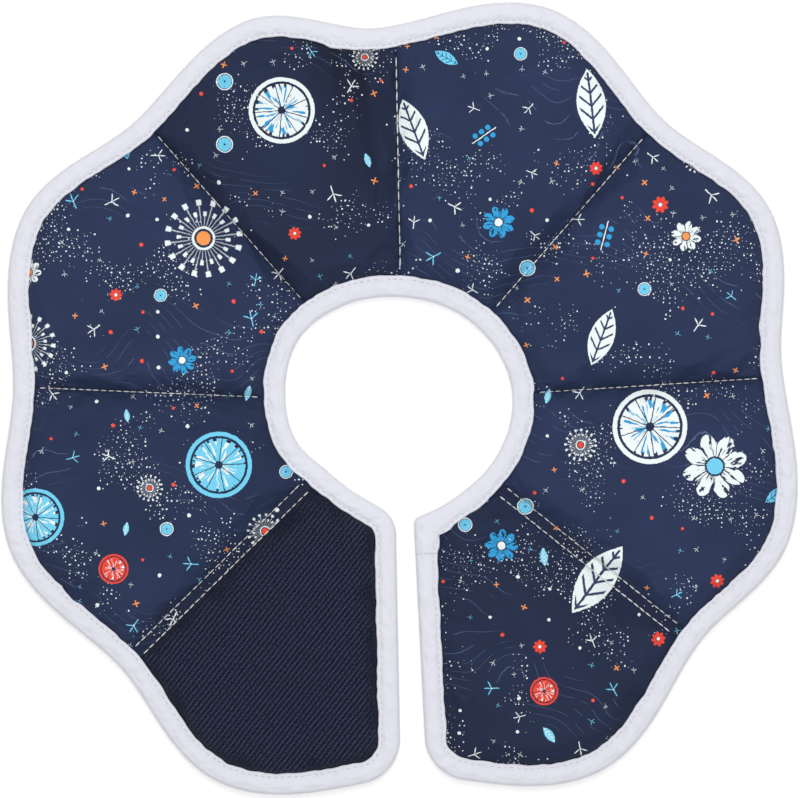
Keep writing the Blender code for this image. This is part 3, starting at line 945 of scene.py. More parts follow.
class Drawing:
    """Motif shapes in a motif's own coordinates, in which its radius is 1."""

    def __init__(self, graph: Graph, x: Term, y: Term, blur: float) -> None:
        """Works out the polar coordinates that the shapes share.

        Args:
            graph: The material's node tree.
            x: First coordinate, in radii.
            y: Second coordinate, in radii.
            blur: The width of a drawn edge, in radii.
        """
        self.graph, self.x, self.y, self.blur = graph, x, y, blur
        self.far = graph.math("SQRT", x * x + y * y)
        self.angle = graph.math("ARCTAN2", y, x)
        self.spokes: Term | None = None

    def roughen(self, grain: float) -> None:
        """Leaves gaps in the drawn shapes that run outwards, as a dry brush does.

        Args:
            grain: How much is left out, from 0 to 1.
        """
        out = self.graph.node("CombineXYZ", {0: self.far * 2.2, 1: self.angle * 6.0}).outputs[0]
        self.spokes = self.graph.noise(out, 1.0).below(0.66 - 0.14 * grain, 0.03)

    def masks(self, motif: Motif) -> tuple[Term, Term]:
        """The share of the main colour and of the accent colour for a motif."""
        shapes = {
            Motif.BLOOM: self.bloom,
            Motif.SEED_HEAD: self.seed_head,
            Motif.SLICE: self.slice,
            Motif.LEAF: self.leaf,
            Motif.BERRIES: self.berries,
            Motif.SPRIG: self.sprig,
            Motif.PLUS: self.plus,
            Motif.DOT: self.dot,
        }
        return shapes[motif]()

    def _wave(self, count: float) -> Term:
        """The cosine of the angle times a count."""
        return self.graph.math("COSINE", self.angle * count)

    def _near(self, limit: float) -> Term:
        """1 inside a circle about the middle."""
        return self.far.below(limit, self.blur)

    def _beyond(self, limit: float) -> Term:
        """1 outside a circle about the middle."""
        return 1.0 - self._near(limit)

    def bloom(self) -> tuple[Term, Term]:
        """A flower: its edge swings with the cosine of the angle, and thin gaps part the petals."""
        edge = self.graph.math("ABSOLUTE", self._wave(4.0)) * 0.34 + 0.62
        petals = self.far.below(edge, self.blur) * self._beyond(0.30)
        parted = self.graph.math("ABSOLUTE", self._wave(4.0)) * self.far
        petals = petals * (1.0 - parted.below(0.045, self.blur))
        if self.spokes is not None:
            petals = petals * self.spokes
        return petals, self._near(0.24)

    def seed_head(self) -> tuple[Term, Term]:
        """A seed head: two rings of thin rays round a small core, each with a dot at its end.

        The rays are where the cosine of 16 angles, or its negative, is high.
        """
        wave = self._wave(16.0)
        count = (
            ((0.0 - wave).below(-0.88, 0.2), (0.0 - wave).below(-0.30, 0.3), 0.84, 0.98),
            (wave.below(-0.88, 0.2), wave.below(-0.30, 0.3), 0.56, 0.68),
        )
        body = self._near(0.30) * self._beyond(0.24)
        for ray, dot, inner, outer in count:
            ray = ray * self._near(inner) * self._beyond(0.28)
            dot = dot * self._near(outer) * self._beyond(inner)
            body = self.graph.math("MAXIMUM", body, self.graph.math("MAXIMUM", ray, dot))
        return body, self._near(0.18)

    def slice(self) -> tuple[Term, Term]:
        """A cut fruit: a rind, and wedges that are parted by thin gaps."""
        rind = self._near(0.97) * self._beyond(0.85)
        parted = self.graph.math("ABSOLUTE", self._wave(4.5)) * self.far
        wedges = self._near(0.78) * self._beyond(0.12) * (1.0 - parted.below(0.06, self.blur))
        if self.spokes is not None:
            return self.graph.math("MAXIMUM", rind, wedges * self.spokes), wedges * (1.0 - self.spokes) * self._near(0.7)
        return rind, wedges

    def leaf(self) -> tuple[Term, Term]:
        """A lens: the width at x is the square's fall from the middle, with ribs drawn across."""
        side = self.graph.math("ABSOLUTE", self.y)
        width = 0.42 - self.x * self.x * 0.42
        blade = side.below(width, self.blur) * self.graph.math("ABSOLUTE", self.x).below(1.0, self.blur)
        ribs = self.graph.math("SINE", (self.x - side) * 17.0).below(-0.62, 0.25)
        veins = self.graph.math("MAXIMUM", ribs, side.below(0.035, self.blur))
        return blade, blade * veins * side.below(width - 0.07, self.blur)

    def berries(self) -> tuple[Term, Term]:
        """Pairs of discs along a stem: the plan is folded over the stem and repeats along it."""
        step = self.graph.math("FLOORED_MODULO", self.x + 0.25, 0.5) - 0.25
        side = self.graph.math("ABSOLUTE", self.y) - 0.30
        far = self.graph.math("SQRT", step * step + side * side)
        along = self.graph.math("ABSOLUTE", self.x)
        stem = self.graph.math("ABSOLUTE", self.y).below(0.04, self.blur) * along.below(0.95, self.blur)
        return far.below(0.18, self.blur) * along.below(0.75, self.blur), stem

    def sprig(self) -> tuple[Term, Term]:
        """Three thin blades over a stem: their edge follows a high power of the sine."""
        blade = self.graph.math("ABSOLUTE", self.graph.math("SINE", self.angle * 3.0)) ** 9.0
        fan = self.far.below(blade * 0.84 + 0.10, self.blur) * (1.0 - self.y.below(0.0, self.blur))
        thin = self.graph.math("ABSOLUTE", self.x).below(0.075, self.blur)
        stem = thin * self.y.below(0.1, self.blur) * (1.0 - self.y.below(-0.85, self.blur))
        return self.graph.math("MAXIMUM", fan, stem), self._near(0.1)

    def plus(self) -> tuple[Term, Term]:
        """Two crossed bars."""
        across = self.graph.math("ABSOLUTE", self.x)
        along = self.graph.math("ABSOLUTE", self.y)
        one = across.below(0.2, self.blur) * along.below(0.9, self.blur)
        two = along.below(0.2, self.blur) * across.below(0.9, self.blur)
        return self.graph.math("MAXIMUM", one, two), self._near(0.1)

    def dot(self) -> tuple[Term, Term]:
        """A round dot."""
        return self._near(0.55), self._near(0.1)


@dataclass(frozen=True)
class PrintedCloth:
    """The cover cloth: dull twill with the scattered print."""

    pattern: GardenPrint = GardenPrint()
    weave: Twill = Twill()
    roughness: float = 0.82
    tint: float = 0.07

    def material(self) -> bpy.types.Material:
        """The finish as a material."""
        graph = Graph("printed_cloth")
        height = self.weave.height(graph)
        normal = graph.bump(height, self.weave.depth)
        # Painted shade stored on the piece: it darkens the whole colour a little, on top of the darker ground
        painted_shade = graph.number("Attribute", "Fac", {}, attribute_name="painted_shade")
        share = (painted_shade * 0.2 + 0.8) * (height * (2.0 * self.tint) + (1.0 - self.tint))
        inputs = {"Vector": self.pattern.colour(graph), "Scale": share}
        colour = graph.node("VectorMath", inputs, operation="SCALE").outputs[0]
        return graph.finish(
            Base_Color=colour, Roughness=self.roughness, Normal=normal,
            Sheen_Weight=0.02, Sheen_Roughness=0.5, Specular_IOR_Level=0.22,
        )


@dataclass(frozen=True)
class BackCloth:
    """The plain dark cloth of the collar's underside."""

    colour: Colour = (0.026, 0.036, 0.070)
    weave: Twill = Twill(pitch=0.7 * MM, depth=0.04 * MM)

    def material(self) -> bpy.types.Material:
        """The finish as a material."""
        graph = Graph("back_cloth")
        slow = graph.number("TexNoise", "Fac", {"Vector": graph.plan(9.0 * MM), "Scale": 1.0})
        colour = graph.mix(slow, self.colour, tuple(1.5 * c for c in self.colour))
        normal = graph.bump(self.weave.height(graph), self.weave.depth)
        return graph.finish(Base_Color=colour, Roughness=0.85, Normal=normal, Sheen_Weight=0.1)


@dataclass(frozen=True)
class LoopCloth:
    """The loop side of the fastening: dark brushed cloth with fine diagonal ribs."""

    dark: Colour = (0.0042, 0.0062, 0.0180)
    light: Colour = (0.0980, 0.1220, 0.2200)
    pitch: float = 1.95 * MM
    turn: float = 0.67
    border: float = 3.0 * MM

    def material(self) -> bpy.types.Material:
        """The finish as a material: ribs fade out near the edges, where only the fuzz is left."""
        graph = Graph("loop_cloth")
        wobble = graph.number("TexNoise", "Fac", {"Vector": graph.plan(14.0 * MM), "Scale": 1.0})
        across, along = graph.parts(graph.plan(self.pitch, turn=self.turn))
        wave = graph.math("SINE", (across + wobble * 0.5) * (2.0 * np.pi)) * 0.5 + 0.5
        rib = wave ** 5.0
        edge = graph.number("Attribute", "Fac", {}, attribute_name="from_edge")
        ragged = (graph.noise(graph.plan(16.0 * MM, (6.0, 3.0)), 1.0) - 0.35) * (22.0 * MM) + self.border
        inside = 1.0 - edge.below(ragged, 7.0 * MM)
        inputs = {"Vector": graph.plan(0.46 * MM), "Scale": 1.0, "Detail": 2.0}
        fuzz = graph.number("TexNoise", "Fac", inputs)
        inputs = {"Vector": graph.plan(0.85 * MM), "Scale": 1.0, "Randomness": 1.0}
        loops = 1.0 - graph.number("TexVoronoi", "Distance", inputs, voronoi_dimensions="2D")
        knots = graph.math("SINE", along * (2.0 * np.pi * 2.1)) * 0.34 + 0.66
        lit = rib * inside * knots * 0.60 + (fuzz - 0.42) * 1.10 + (loops - 0.52) * 0.40
        colour = graph.mix(graph.math("MAXIMUM", lit - 0.13, 0.0), self.dark, self.light)
        normal = graph.bump(rib * inside * 0.5 + fuzz * 0.5 + loops * 0.4, 0.22 * MM)
        return graph.finish(
            Base_Color=colour, Roughness=0.95, Normal=normal, Sheen_Weight=0.04,
            Sheen_Roughness=0.6, Specular_IOR_Level=0.12,
        )


@dataclass(frozen=True)
class BindingTape:
    """The pale tape: dull woven ribbon with a faint violet cast."""

    colour: Colour = (0.735, 0.74, 0.81)

    def material(self) -> bpy.types.Material:
        """The finish as a material: two crossed sets of threads under a slow unevenness."""
        graph = Graph("binding_tape")
        across, along = graph.parts(graph.plan(0.62 * MM, turn=0.6))
        threads = graph.math("SINE", across * (2.0 * np.pi)) * graph.math("SINE", along * (2.0 * np.pi))
        slow = graph.number("TexNoise", "Fac", {"Vector": graph.plan(7.0 * MM), "Scale": 1.0})
        colour = graph.mix(slow, tuple(0.94 * c for c in self.colour), self.colour)
        normal = graph.bump(threads * 0.5 + slow, 0.06 * MM)
        return graph.finish(Base_Color=colour, Roughness=0.85, Normal=normal, Sheen_Weight=0.1)


@dataclass(frozen=True)
class Thread:
    """Sewing thread: two twisted plies."""

    name: str = "seam_thread"
    colour: Colour = (0.80, 0.80, 0.80)

    def material(self) -> bpy.types.Material:
        """The finish as a material: fine diagonal lines stand for the twist."""
        graph = Graph(self.name)
        across, _ = graph.parts(graph.plan(0.3 * MM, turn=0.5))
        twist = graph.math("SINE", across * (2.0 * np.pi)) * 0.5 + 0.5
        colour = graph.mix(twist, tuple(0.8 * c for c in self.colour), self.colour)
        return graph.finish(Base_Color=colour, Roughness=0.7, Normal=graph.bump(twist, 0.05 * MM))


@dataclass(frozen=True)
class HookTape:
    """The hook side of the fastening: stiff dark woven nylon."""

    colour: Colour = (0.012, 0.013, 0.020)

    def material(self) -> bpy.types.Material:
        """The finish as a material: a plain weave of crossed threads."""
        graph = Graph("hook_tape")
        across, along = graph.parts(graph.plan(0.8 * MM, turn=-0.03))
        threads = graph.math("SINE", across * (2.0 * np.pi)) * graph.math("SINE", along * (2.0 * np.pi))
        shade = threads * 0.5 + 0.5
        colour = graph.mix(shade, self.colour, tuple(2.0 * c for c in self.colour))
        return graph.finish(Base_Color=colour, Roughness=0.6, Normal=graph.bump(shade, 0.15 * MM))


# Pieces


@dataclass
class Petals:
    """The padded petals: closed covers, gathered at their seams and at the tape."""

    outline: Outline
    cloth: bpy.types.Material
    back: bpy.types.Material
    loop: bpy.types.Material
    columns: int = 128
    rows: int = 124
    draft_columns: int = 47
    draft_rows: int = 45
    fullness: float = 0.016
    pressure: float = 0.5
    frames: int = 16
    cap: float = 1.3 * MM
    loop_petal: int = 1
    hook_petal: int = 8
    made: list[bpy.types.Object] = field(default_factory=list)

    def plan(self, number: int, columns: int, rows: int) -> Array:
        """Plan positions of a petal's grid: straight columns fan out from the neck to the rim.

        Args:
            number: The petal's number, clockwise from the slit.
            columns: Columns from its first side to its second.
            rows: Rows from neck to rim.

        Returns:
            Positions as rows, columns and two coordinates.
        """
        sides = self.outline.sides(number)
        ends = []
        for name in ("neck", "rim"):
            cut = self.outline.cuts[name]
            along = lengths_along(cut)
            index = [self.outline.crossing(cut, side, side.nearest)[1] for side in sides]
            first, last = np.interp(index, np.arange(len(cut)), along)
            ends.append(at_lengths(cut, first + (last - first) * gathered(columns, 0.45)))
        out = gathered(rows, 0.45)[:, None, None]
        return ends[0] * (1.0 - out) + ends[1] * out

    def heights(self, number: int, plan: Array, edge: Array) -> tuple[Array, Array]:
        """Heights of the top and the underside over plan positions.

        The top is the product of stuffed edges at the tape and at both seams, whose widths
        waver, less the soft folds, and with short ripples that fade away from each seam.

        Args:
            number: The petal's number.
            plan: Plan positions.
            edge: Their distances to the finished edge.

        Returns:
            Heights of the top and of the underside.
        """
        s = self.outline.sizes
        waver = 1.0 + 0.14 * Waves(17.0 * MM, 11 + number).at(plan)
        past_tape = edge - (s.tape_width + s.gap) - self.outline.swelling(plan)
        at_tape = pillow(past_tape, s.top_roll * waver)
        plumpness = (1.0 - self.dent(number, plan)) * (1.0 + 0.035 * Waves(45.0 * MM, 71).at(plan))
        crest = s.edge_top + (s.pad_top - s.edge_top) * at_tape * plumpness
        belly = pillow(past_tape, s.belly_roll)
        fade = np.exp(-np.clip(past_tape, 0.0, 1.0) / (4.5 * MM)) * (past_tape > 0.0)
        ripples = fade * Waves(8.0 * MM, 31 + number).at(plan)
        calm = at_tape
        for side in self.outline.sides(number):
            if side.taped:
                continue
            past = side.past(plan)
            rise = pillow(past, s.top_roll * waver * side.roll)
            foot = np.minimum(side.foot, crest - 0.2 * MM)
            crest = foot + (crest - foot) * rise
            belly = belly * pillow(past, s.belly_roll)
            puckers = Waves(6.5 * MM, 51 + number).at(side.along(plan)[..., None])
            near = np.clip(past, 0.0, 1.0)
            ripples = ripples + 1.3 * puckers * near / (2.0 * MM) * np.exp(-near / (3.2 * MM))
            calm = calm * rise
        crest = crest + 0.26 * MM * ripples * calm
        foot = s.edge_foot * (1.0 - belly)
        if number == self.hook_petal:
            foot = np.maximum(foot, s.edge_foot)
        return crest, foot

    def dent(self, number: int, plan: Array) -> Array:
        """The share of the rise that soft folds take away: valleys with a bell-shaped section."""
        s = self.outline.sizes
        total = np.zeros(plan.shape[:-1])
        for petal, rim_turn, neck_turn, reach, depth, half_width in FOLDS:
            if petal != number:
                continue
            start, out = self.outline.seam_line(rim_turn, neck_turn)
            across = (plan - start) @ left_of(out)
            from_rim = 1.0 - ((plan - start) @ out) / (s.rim_radius - s.neck_radius)
            fade = np.clip((reach - from_rim) / reach, 0.0, 1.0)
            total = total + depth * fade * np.exp(-((across / (half_width * s.top_roll)) ** 2))
        return total

    def relax(self, drafts: dict[int, tuple[Array, Array]]) -> dict[int, Array]:
        """Lets the covers settle as real cloth, all at once, and returns how far they moved.

        Each draft is the cover's upper side on a coarse grid. It is held at its seams and under
        the tape, cut a little larger than the padding, and pressed outwards from inside.

        Args:
            drafts: For each petal, the points of its grid and a mask of those that are held.

        Returns:
            For each petal, the way that every point of its grid moved.
        """
        scene = bpy.context.scene
        made = {}
        for number, (points, held) in drafts.items():
            rows, columns = held.shape
            surface = Surface(points.reshape(-1, 3), [grid_quads(rows, columns)[:, ::-1]])
            draft = surface.piece(f"draft_{number}")
            group = draft.vertex_groups.new(name="held")
            group.add([int(i) for i in np.flatnonzero(held.ravel())], 1.0, "REPLACE")
            cloth = draft.modifiers.new("cloth", "CLOTH")
            settings = cloth.settings
            settings.quality = 4
            settings.mass = 0.2
            settings.tension_stiffness = settings.compression_stiffness = 6.0
            settings.shear_stiffness = 3.0
            settings.bending_stiffness = 0.4
            settings.vertex_group_mass = "held"
            settings.shrink_min = -self.fullness
            settings.use_pressure = True
            settings.uniform_pressure_force = self.pressure
            settings.effector_weights.gravity = 0.0
            cloth.collision_settings.use_collision = False
            cloth.point_cache.frame_start, cloth.point_cache.frame_end = 1, self.frames
            made[number] = draft
        for moment in range(1, self.frames + 1):
            scene.frame_set(moment)
        graph = bpy.context.evaluated_depsgraph_get()
        moved = {}
        for number, draft in made.items():
            points = drafts[number][0]
            flat = np.empty(points.size, dtype=np.float32)
            draft.evaluated_get(graph).data.vertices.foreach_get("co", flat)
            way = flat.reshape(points.shape).astype(float) - points
            moved[number] = self.cap * np.tanh(way / self.cap) * np.array([0.4, 0.4, 1.0])
            LOG.info("petal %d settled by up to %.2f mm", number, np.abs(way).max() / MM)
        for draft in made.values():
            mesh = draft.data
            bpy.data.objects.remove(draft)
            bpy.data.meshes.remove(mesh)
        scene.frame_set(1)
        return moved

    def settled(self) -> dict[int, Array]:
        """How far each cover moves where it is let settle, on the fine grid."""
        s = self.outline.sizes
        drafts = {}
        for number in range(1, 9):
            plan = self.plan(number, self.draft_columns, self.draft_rows)
            edge = distance_to(self.outline.loop, plan)
            crest, _ = self.heights(number, plan, edge)
            held = edge < s.tape_width + 1.0 * MM + self.outline.swelling(plan)
            held[:, 0] = held[:, -1] = True
            drafts[number] = np.concatenate([plan, crest[..., None]], axis=-1), held
        moved = self.relax(drafts)
        return {number: refined(way, self.rows, self.columns) for number, way in moved.items()}

    def build(self) -> None:
        """Makes all petals, and the loop cloth over the first."""
        s = self.outline.sizes
        moved = self.settled()
        for number in range(1, 9):
            plan = self.plan(number, self.columns, self.rows)
            edge = distance_to(self.outline.loop, plan)
            crest, foot = self.heights(number, plan, edge)
            top = np.concatenate([plan, crest[..., None]], axis=-1) + moved.get(number, 0.0)
            if number == self.loop_petal:
                self.lay_loop_cloth(plan, top, edge)
                top[..., 2] = np.maximum(top[..., 2] - s.loop_sheet - s.gap, foot + 0.2 * MM)
            self.cover(number, plan, top, foot)

    def cover(self, number: int, plan: Array, top: Array, foot: Array) -> None:
        """One petal's closed cover.

        Args:
            number: The petal's number.
            plan: Plan positions.
            top: Points of the upper side.
            foot: Heights of the underside.
        """
        under = np.concatenate([plan, foot[..., None]], axis=-1)
        # Painted shade: each petal's cloth is drawn darker by its share in the table above, and darker still in the
        # valleys of its soft folds, where shade falls
        folds = np.clip(self.dent(number, plan), 0.0, 0.5)
        painted_shade = PETAL_PAINTED_SHADE.get(number, 1.0) * (1.0 - 1.30 * folds)
        piece = closed_form(top, under, {"painted_shade": painted_shade}).piece(f"petal_cover_{number}")
        worn(piece, "printed_cloth", self.cloth, self.back)
        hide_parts(f"petal_{number}")
        self.made.append(piece)

    def lay_loop_cloth(self, plan: Array, top: Array, edge: Array) -> None:
        """The brushed cloth that faces the first petal.

        Args:
            plan: Plan positions.
            top: Points of its face.
            edge: Distances to the finished edge.
        """
        s = self.outline.sizes
        under = top - np.array([0.0, 0.0, s.loop_sheet])
        second = self.outline.sides(self.loop_petal)[1]
        border = np.minimum(edge - s.tape_width, second.past(plan))
        piece = closed_form(top, under, {"from_edge": border}).piece("loop_cover")
        worn(piece, "loop_cloth", self.loop, self.loop)
        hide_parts("loop_panel")
        across, up = plan[1:, 1:] - plan[:-1, :-1], plan[1:, :-1] - plan[:-1, 1:]
        area = float(np.abs(across[..., 0] * up[..., 1] - across[..., 1] * up[..., 0]).sum() / 2.0)
        self.made.append(piece)


@dataclass
class SeamBands:
    """The two flat strips between double stitch rows, where the collar folds."""

    outline: Outline
    cloth: bpy.types.Material
    back: bpy.types.Material
    columns: int = 9
    rows: int = 110
    # How dark the strips' cloth is drawn: painted shade for the sunken strip between the stitch rows
    painted_shade: float = 0.62
    made: list[bpy.types.Object] = field(default_factory=list)

    def build(self) -> None:
        """Makes both strips: flat between the stitch rows, with slight ripples along them."""
        s = self.outline.sizes
        for name, rim_turn, neck_turn, banded, foot, _ in SEAMS:
            if not banded:
                continue
            start, out = self.outline.seam_line(rim_turn, neck_turn)
            side = Side(start, out, 1.0, 0.0, False)
            half = s.band_width / 2.0 + 0.5 * MM
            offsets = np.linspace(-half, half, self.columns)
            cuts = self.outline.cuts
            ends = [[self.outline.crossing(cuts[cut], side, o)[0] for o in offsets] for cut in cuts]
            share = np.linspace(0.0, 1.0, self.rows)[:, None, None]
            plan = np.array(ends[0]) * (1.0 - share) + np.array(ends[1]) * share
            ripple = 0.34 * MM * Waves(5.5 * MM, 5).at(plan)
            level = foot * MM + ripple * (1.0 - (offsets / half) ** 2)
            top = np.concatenate([plan, level[..., None]], axis=-1)
            under = top - np.array([0.0, 0.0, 1.0 * MM])
            # Painted shade: the sunken strip between the stitch rows is drawn darker
            painted_shade = np.full(level.shape, self.painted_shade)
            piece = closed_form(top, under, {"painted_shade": painted_shade}).piece(name.replace("band", "strip"))
            worn(piece, "printed_cloth", self.cloth, self.back)
            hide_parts(name)
            self.made.append(piece)


@dataclass
class Binding:
    """The folded tape round the whole edge, with its own row of stitches."""

    outline: Outline
    tape: bpy.types.Material
    thread: bpy.types.Material
    step: float = 1.1 * MM
    bend_weight: float = 24.0
    stitch_depth: float = 1.7 * MM
    made: list[bpy.types.Object] = field(default_factory=list)

    def path(self) -> tuple[Array, Array]:
        """Places along the tape and the way into the cloth at each, turned gently at corners."""
        s = self.outline.sizes
        right = self.outline.runs["right"]
        total = lengths_along(right)[-1]
        upper = self.outline.trimmed(right, total - s.tape_lap_drop, 0.0)
        lower = self.outline.trimmed(right, 0.0, s.tape_lap_drop - 2.5 * MM)
        middle = [self.outline.runs[name] for name in ("neck", "left", "rim")]
        path = evenly(np.concatenate([upper[:-1], *middle, lower[1:]]), 1.0 * MM)
        tangent = unit(np.gradient(path, axis=0))
        inward = -left_of(tangent)
        turning = np.linalg.norm(np.gradient(tangent, axis=0), axis=1)
        cost = lengths_along(path) / self.step + self.bend_weight * np.cumsum(turning) / np.pi
        stations = np.linspace(cost[0], cost[-1], int(round(cost[-1] - cost[0])) + 1)
        reach = int(round(1.2 * s.tape_width / (1.0 * MM)))
        kernel = np.hanning(2 * reach + 3)[1:-1]
        padded = np.concatenate([inward[:1].repeat(reach, 0), inward, inward[-1:].repeat(reach, 0)])
        smooth = [np.convolve(padded[:, i], kernel / kernel.sum(), mode="valid") for i in (0, 1)]
        places = np.stack([np.interp(stations, cost, path[:, i]) for i in (0, 1)], axis=-1)
        ways = np.stack([np.interp(stations, cost, smooth[i]) for i in (0, 1)], axis=-1)
        return places, unit(ways)

    def section(self) -> tuple[Array, Array, Array]:
        """The tape's closed section: depth in from the fold, height and which side it faces.

        The outer line is a half circle round the fold and a puffed flap above and below, which
        dips at the stitches; the inner line follows it a cloth's thickness inside.
        """
        s = self.outline.sizes
        h, w = s.tape_half, s.tape_width
        turn = np.radians(np.linspace(0.0, 84.0, 8))
        fold_depth, fold_height = h * (1.0 - np.cos(turn)), h * np.sin(turn)
        flat = np.linspace(h, w, 15)[1:]
        row = w - self.stitch_depth
        puff = 0.55 * MM * np.sin(np.pi * np.clip((flat - h * 0.6) / (row - h * 0.6), 0.0, 1.0))
        dip = 0.35 * MM * np.exp(-(((flat - row) / (0.55 * MM)) ** 2))
        flap = h + puff - dip
        flap[-1] = h - 0.35 * MM
        depth = np.concatenate([fold_depth, flat])
        height = np.concatenate([fold_height, flap])
        inner_depth = np.array([w - 0.05 * MM, w - 1.6 * MM, w * 0.55, h, 0.9 * MM])
        inner_height = np.array([h - 0.85 * MM, h - 0.9 * MM, h - 0.6 * MM, h - 0.7 * MM, 0.6 * MM])
        upper = np.stack([depth, height])
        inner = np.stack([inner_depth, inner_height])
        ring = np.concatenate([upper, inner, inner[:, ::-1] * [[1], [-1]], upper[:, :0:-1] * [[1], [-1]]], 1)
        outer = np.concatenate([np.ones(upper.shape[1]), np.zeros(2 * inner.shape[1]), np.ones(upper.shape[1] - 1)])
        return ring[0], ring[1], outer

    def build(self) -> None:
        """Makes the tape and its stitches."""
        s = self.outline.sizes
        places, ways = self.path()
        along = lengths_along(places)
        depths = np.array([0.0, 2.6, 5.2, 7.8, 11.0]) * MM
        rings = np.stack(
            [places] + [walk_in(places, ways, depth, self.outline.loop) for depth in depths[1:]]
        )
        depth, height, outer = self.section()
        inner = walk_in(places, ways, s.tape_width, self.outline.loop)
        width = 1.0 + self.outline.swelling(inner) / (s.tape_width - s.tape_half)
        puffed = 1.0 + 0.10 * Waves(15.0 * MM, 4).at(along[:, None])
        reach = s.tape_half + (depth - s.tape_half) * width[:, None]
        reach = np.where(depth > s.tape_half, reach, depth)
        plan = self.at_depth(rings, depths, reach)
        lengthwise = np.stack([along[:, None] * 0.30 + 0.0 * reach, reach], axis=-1)
        crease = 0.13 * MM * Waves(2.6 * MM, 8).at(lengthwise)
        slanted = np.stack([along[:, None] + reach * 0.8, reach * 0.4], axis=-1)
        crease = crease + 0.27 * MM * Waves(6.5 * MM, 9).at(slanted)
        lift = crease * outer * np.sin(np.pi * np.clip(reach / s.tape_width, 0.0, 1.0))
        level = s.mid_height + (height + np.sign(height) * lift) * puffed[:, None]
        top = (depth > s.tape_half) & (height > 0.0)
        level = np.where(top, s.mid_height + height + lift, level)
        points = np.concatenate([plan, np.maximum(level, 0.05 * MM)[..., None]], axis=-1)
        rows, columns = level.shape
        quads = grid_quads(rows, columns, wrap=True)
        caps = [np.arange(columns)[::-1][None], (np.arange(columns) + (rows - 1) * columns)[None]]
        if signed_volume(points.reshape(-1, 3), quads) < 0.0:
            quads, caps = quads[:, ::-1], [cap[:, ::-1] for cap in caps]
        piece = Surface(points.reshape(-1, 3), [quads, *caps]).piece("binding_cover")
        worn(piece, "binding_tape", self.tape)
        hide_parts("edge_binding")
        self.made.append(piece)
        row = s.tape_half + (s.tape_width - self.stitch_depth - s.tape_half) * width[:, None]
        line = self.at_depth(rings, depths, row)[:, 0]
        level = np.full(len(line), s.mid_height + s.tape_half - 0.1 * MM)
        stitches = Stitching(pitch=3.0 * MM, share=0.7, thickness=0.42 * MM, arch=0.16 * MM)
        made = stitches.along(np.concatenate([line, level[:, None]], axis=1)).piece("tape_stitches")
        worn(made, "binding_tape", self.thread)
        self.made.append(made)

    def at_depth(self, rings: Array, depths: Array, reach: Array) -> Array:
        """Plan positions at given depths in from the fold, between rings of known depth.

        Args:
            rings: Plan positions of each ring at each station.
            depths: The rings' depths.
            reach: The wanted depth for each station and section point.

        Returns:
            Plan positions for each station and section point.
        """
        place = np.interp(reach, depths, np.arange(len(depths)))
        low = np.clip(np.floor(place).astype(int), 0, len(depths) - 2)
        share = (place - low)[..., None]
        station = np.arange(rings.shape[1])[:, None]
        return rings[low, station] * (1.0 - share) + rings[low + 1, station] * share


@dataclass(frozen=True)
class Stitching:
    """A row of separate stitches: each dips into the cloth at both ends."""

    pitch: float = 3.3 * MM
    share: float = 0.9
    thickness: float = 0.80 * MM
    arch: float = 0.35 * MM
    steps: int = 8
    corners: int = 6
    seed: int = 1

    def along(self, path: Array) -> Surface:
        """Stitches along a path of points in space.

        A stitch is a tube round the path: it rises as the root of a sine, and its radius closes
        in the same way at its ends.

        Args:
            path: The path's points.

        Returns:
            All the stitches as one surface.
        """
        draw = np.random.default_rng(self.seed)
        total = lengths_along(path)[-1]
        starts = np.arange(0.5 * self.pitch, total - self.pitch, self.pitch)
        starts = starts + draw.uniform(-0.06, 0.06, len(starts)) * self.pitch
        t = np.linspace(0.0, 1.0, self.steps)
        lengths = starts[:, None] + t * self.pitch * self.share
        centre = at_lengths(path, lengths.ravel()).reshape(*lengths.shape, 3)
        swell = np.sin(np.pi * np.clip(t, 0.02, 0.98)) ** 0.45
        centre[..., 2] += self.arch * swell - 0.5 * self.arch
        ahead = at_lengths(path, (lengths + 0.2 * MM).ravel()).reshape(*lengths.shape, 3)
        tangent = unit(ahead[..., :2] - at_lengths(path, lengths.ravel()).reshape(*lengths.shape, 3)[..., :2])
        sideways = np.concatenate([left_of(tangent), np.zeros((*lengths.shape, 1))], axis=-1)
        lean = draw.uniform(-0.08, 0.08, len(starts))[:, None, None] * (t[None, :, None] - 0.5)
        centre = centre + lean * self.pitch * sideways
        angle = np.linspace(0.0, 2.0 * np.pi, self.corners, endpoint=False)
        radius = (self.thickness / 2.0 * swell)[None, :, None, None]
        up = np.array([0.0, 0.0, 1.0])
        ring = sideways[:, :, None] * np.cos(angle)[:, None] + up * np.sin(angle)[:, None]
        points = centre[:, :, None] + radius * ring
        each = self.steps * self.corners
        quads = grid_quads(self.steps, self.corners, wrap=True)
        base = (np.arange(len(starts)) * each)[:, None, None]
        tubes = (quads[None] + base).reshape(-1, 4)
        start_cap = (np.arange(self.corners)[::-1] + base[:, 0]).reshape(-1, self.corners)
        end_cap = (np.arange(self.corners) + each - self.corners + base[:, 0]).reshape(-1, self.corners)
        flat = points.reshape(-1, 3)
        if signed_volume(flat, tubes) < 0.0:
            tubes, start_cap, end_cap = tubes[:, ::-1], start_cap[:, ::-1], end_cap[:, ::-1]
        return Surface(flat, [tubes, start_cap, end_cap])


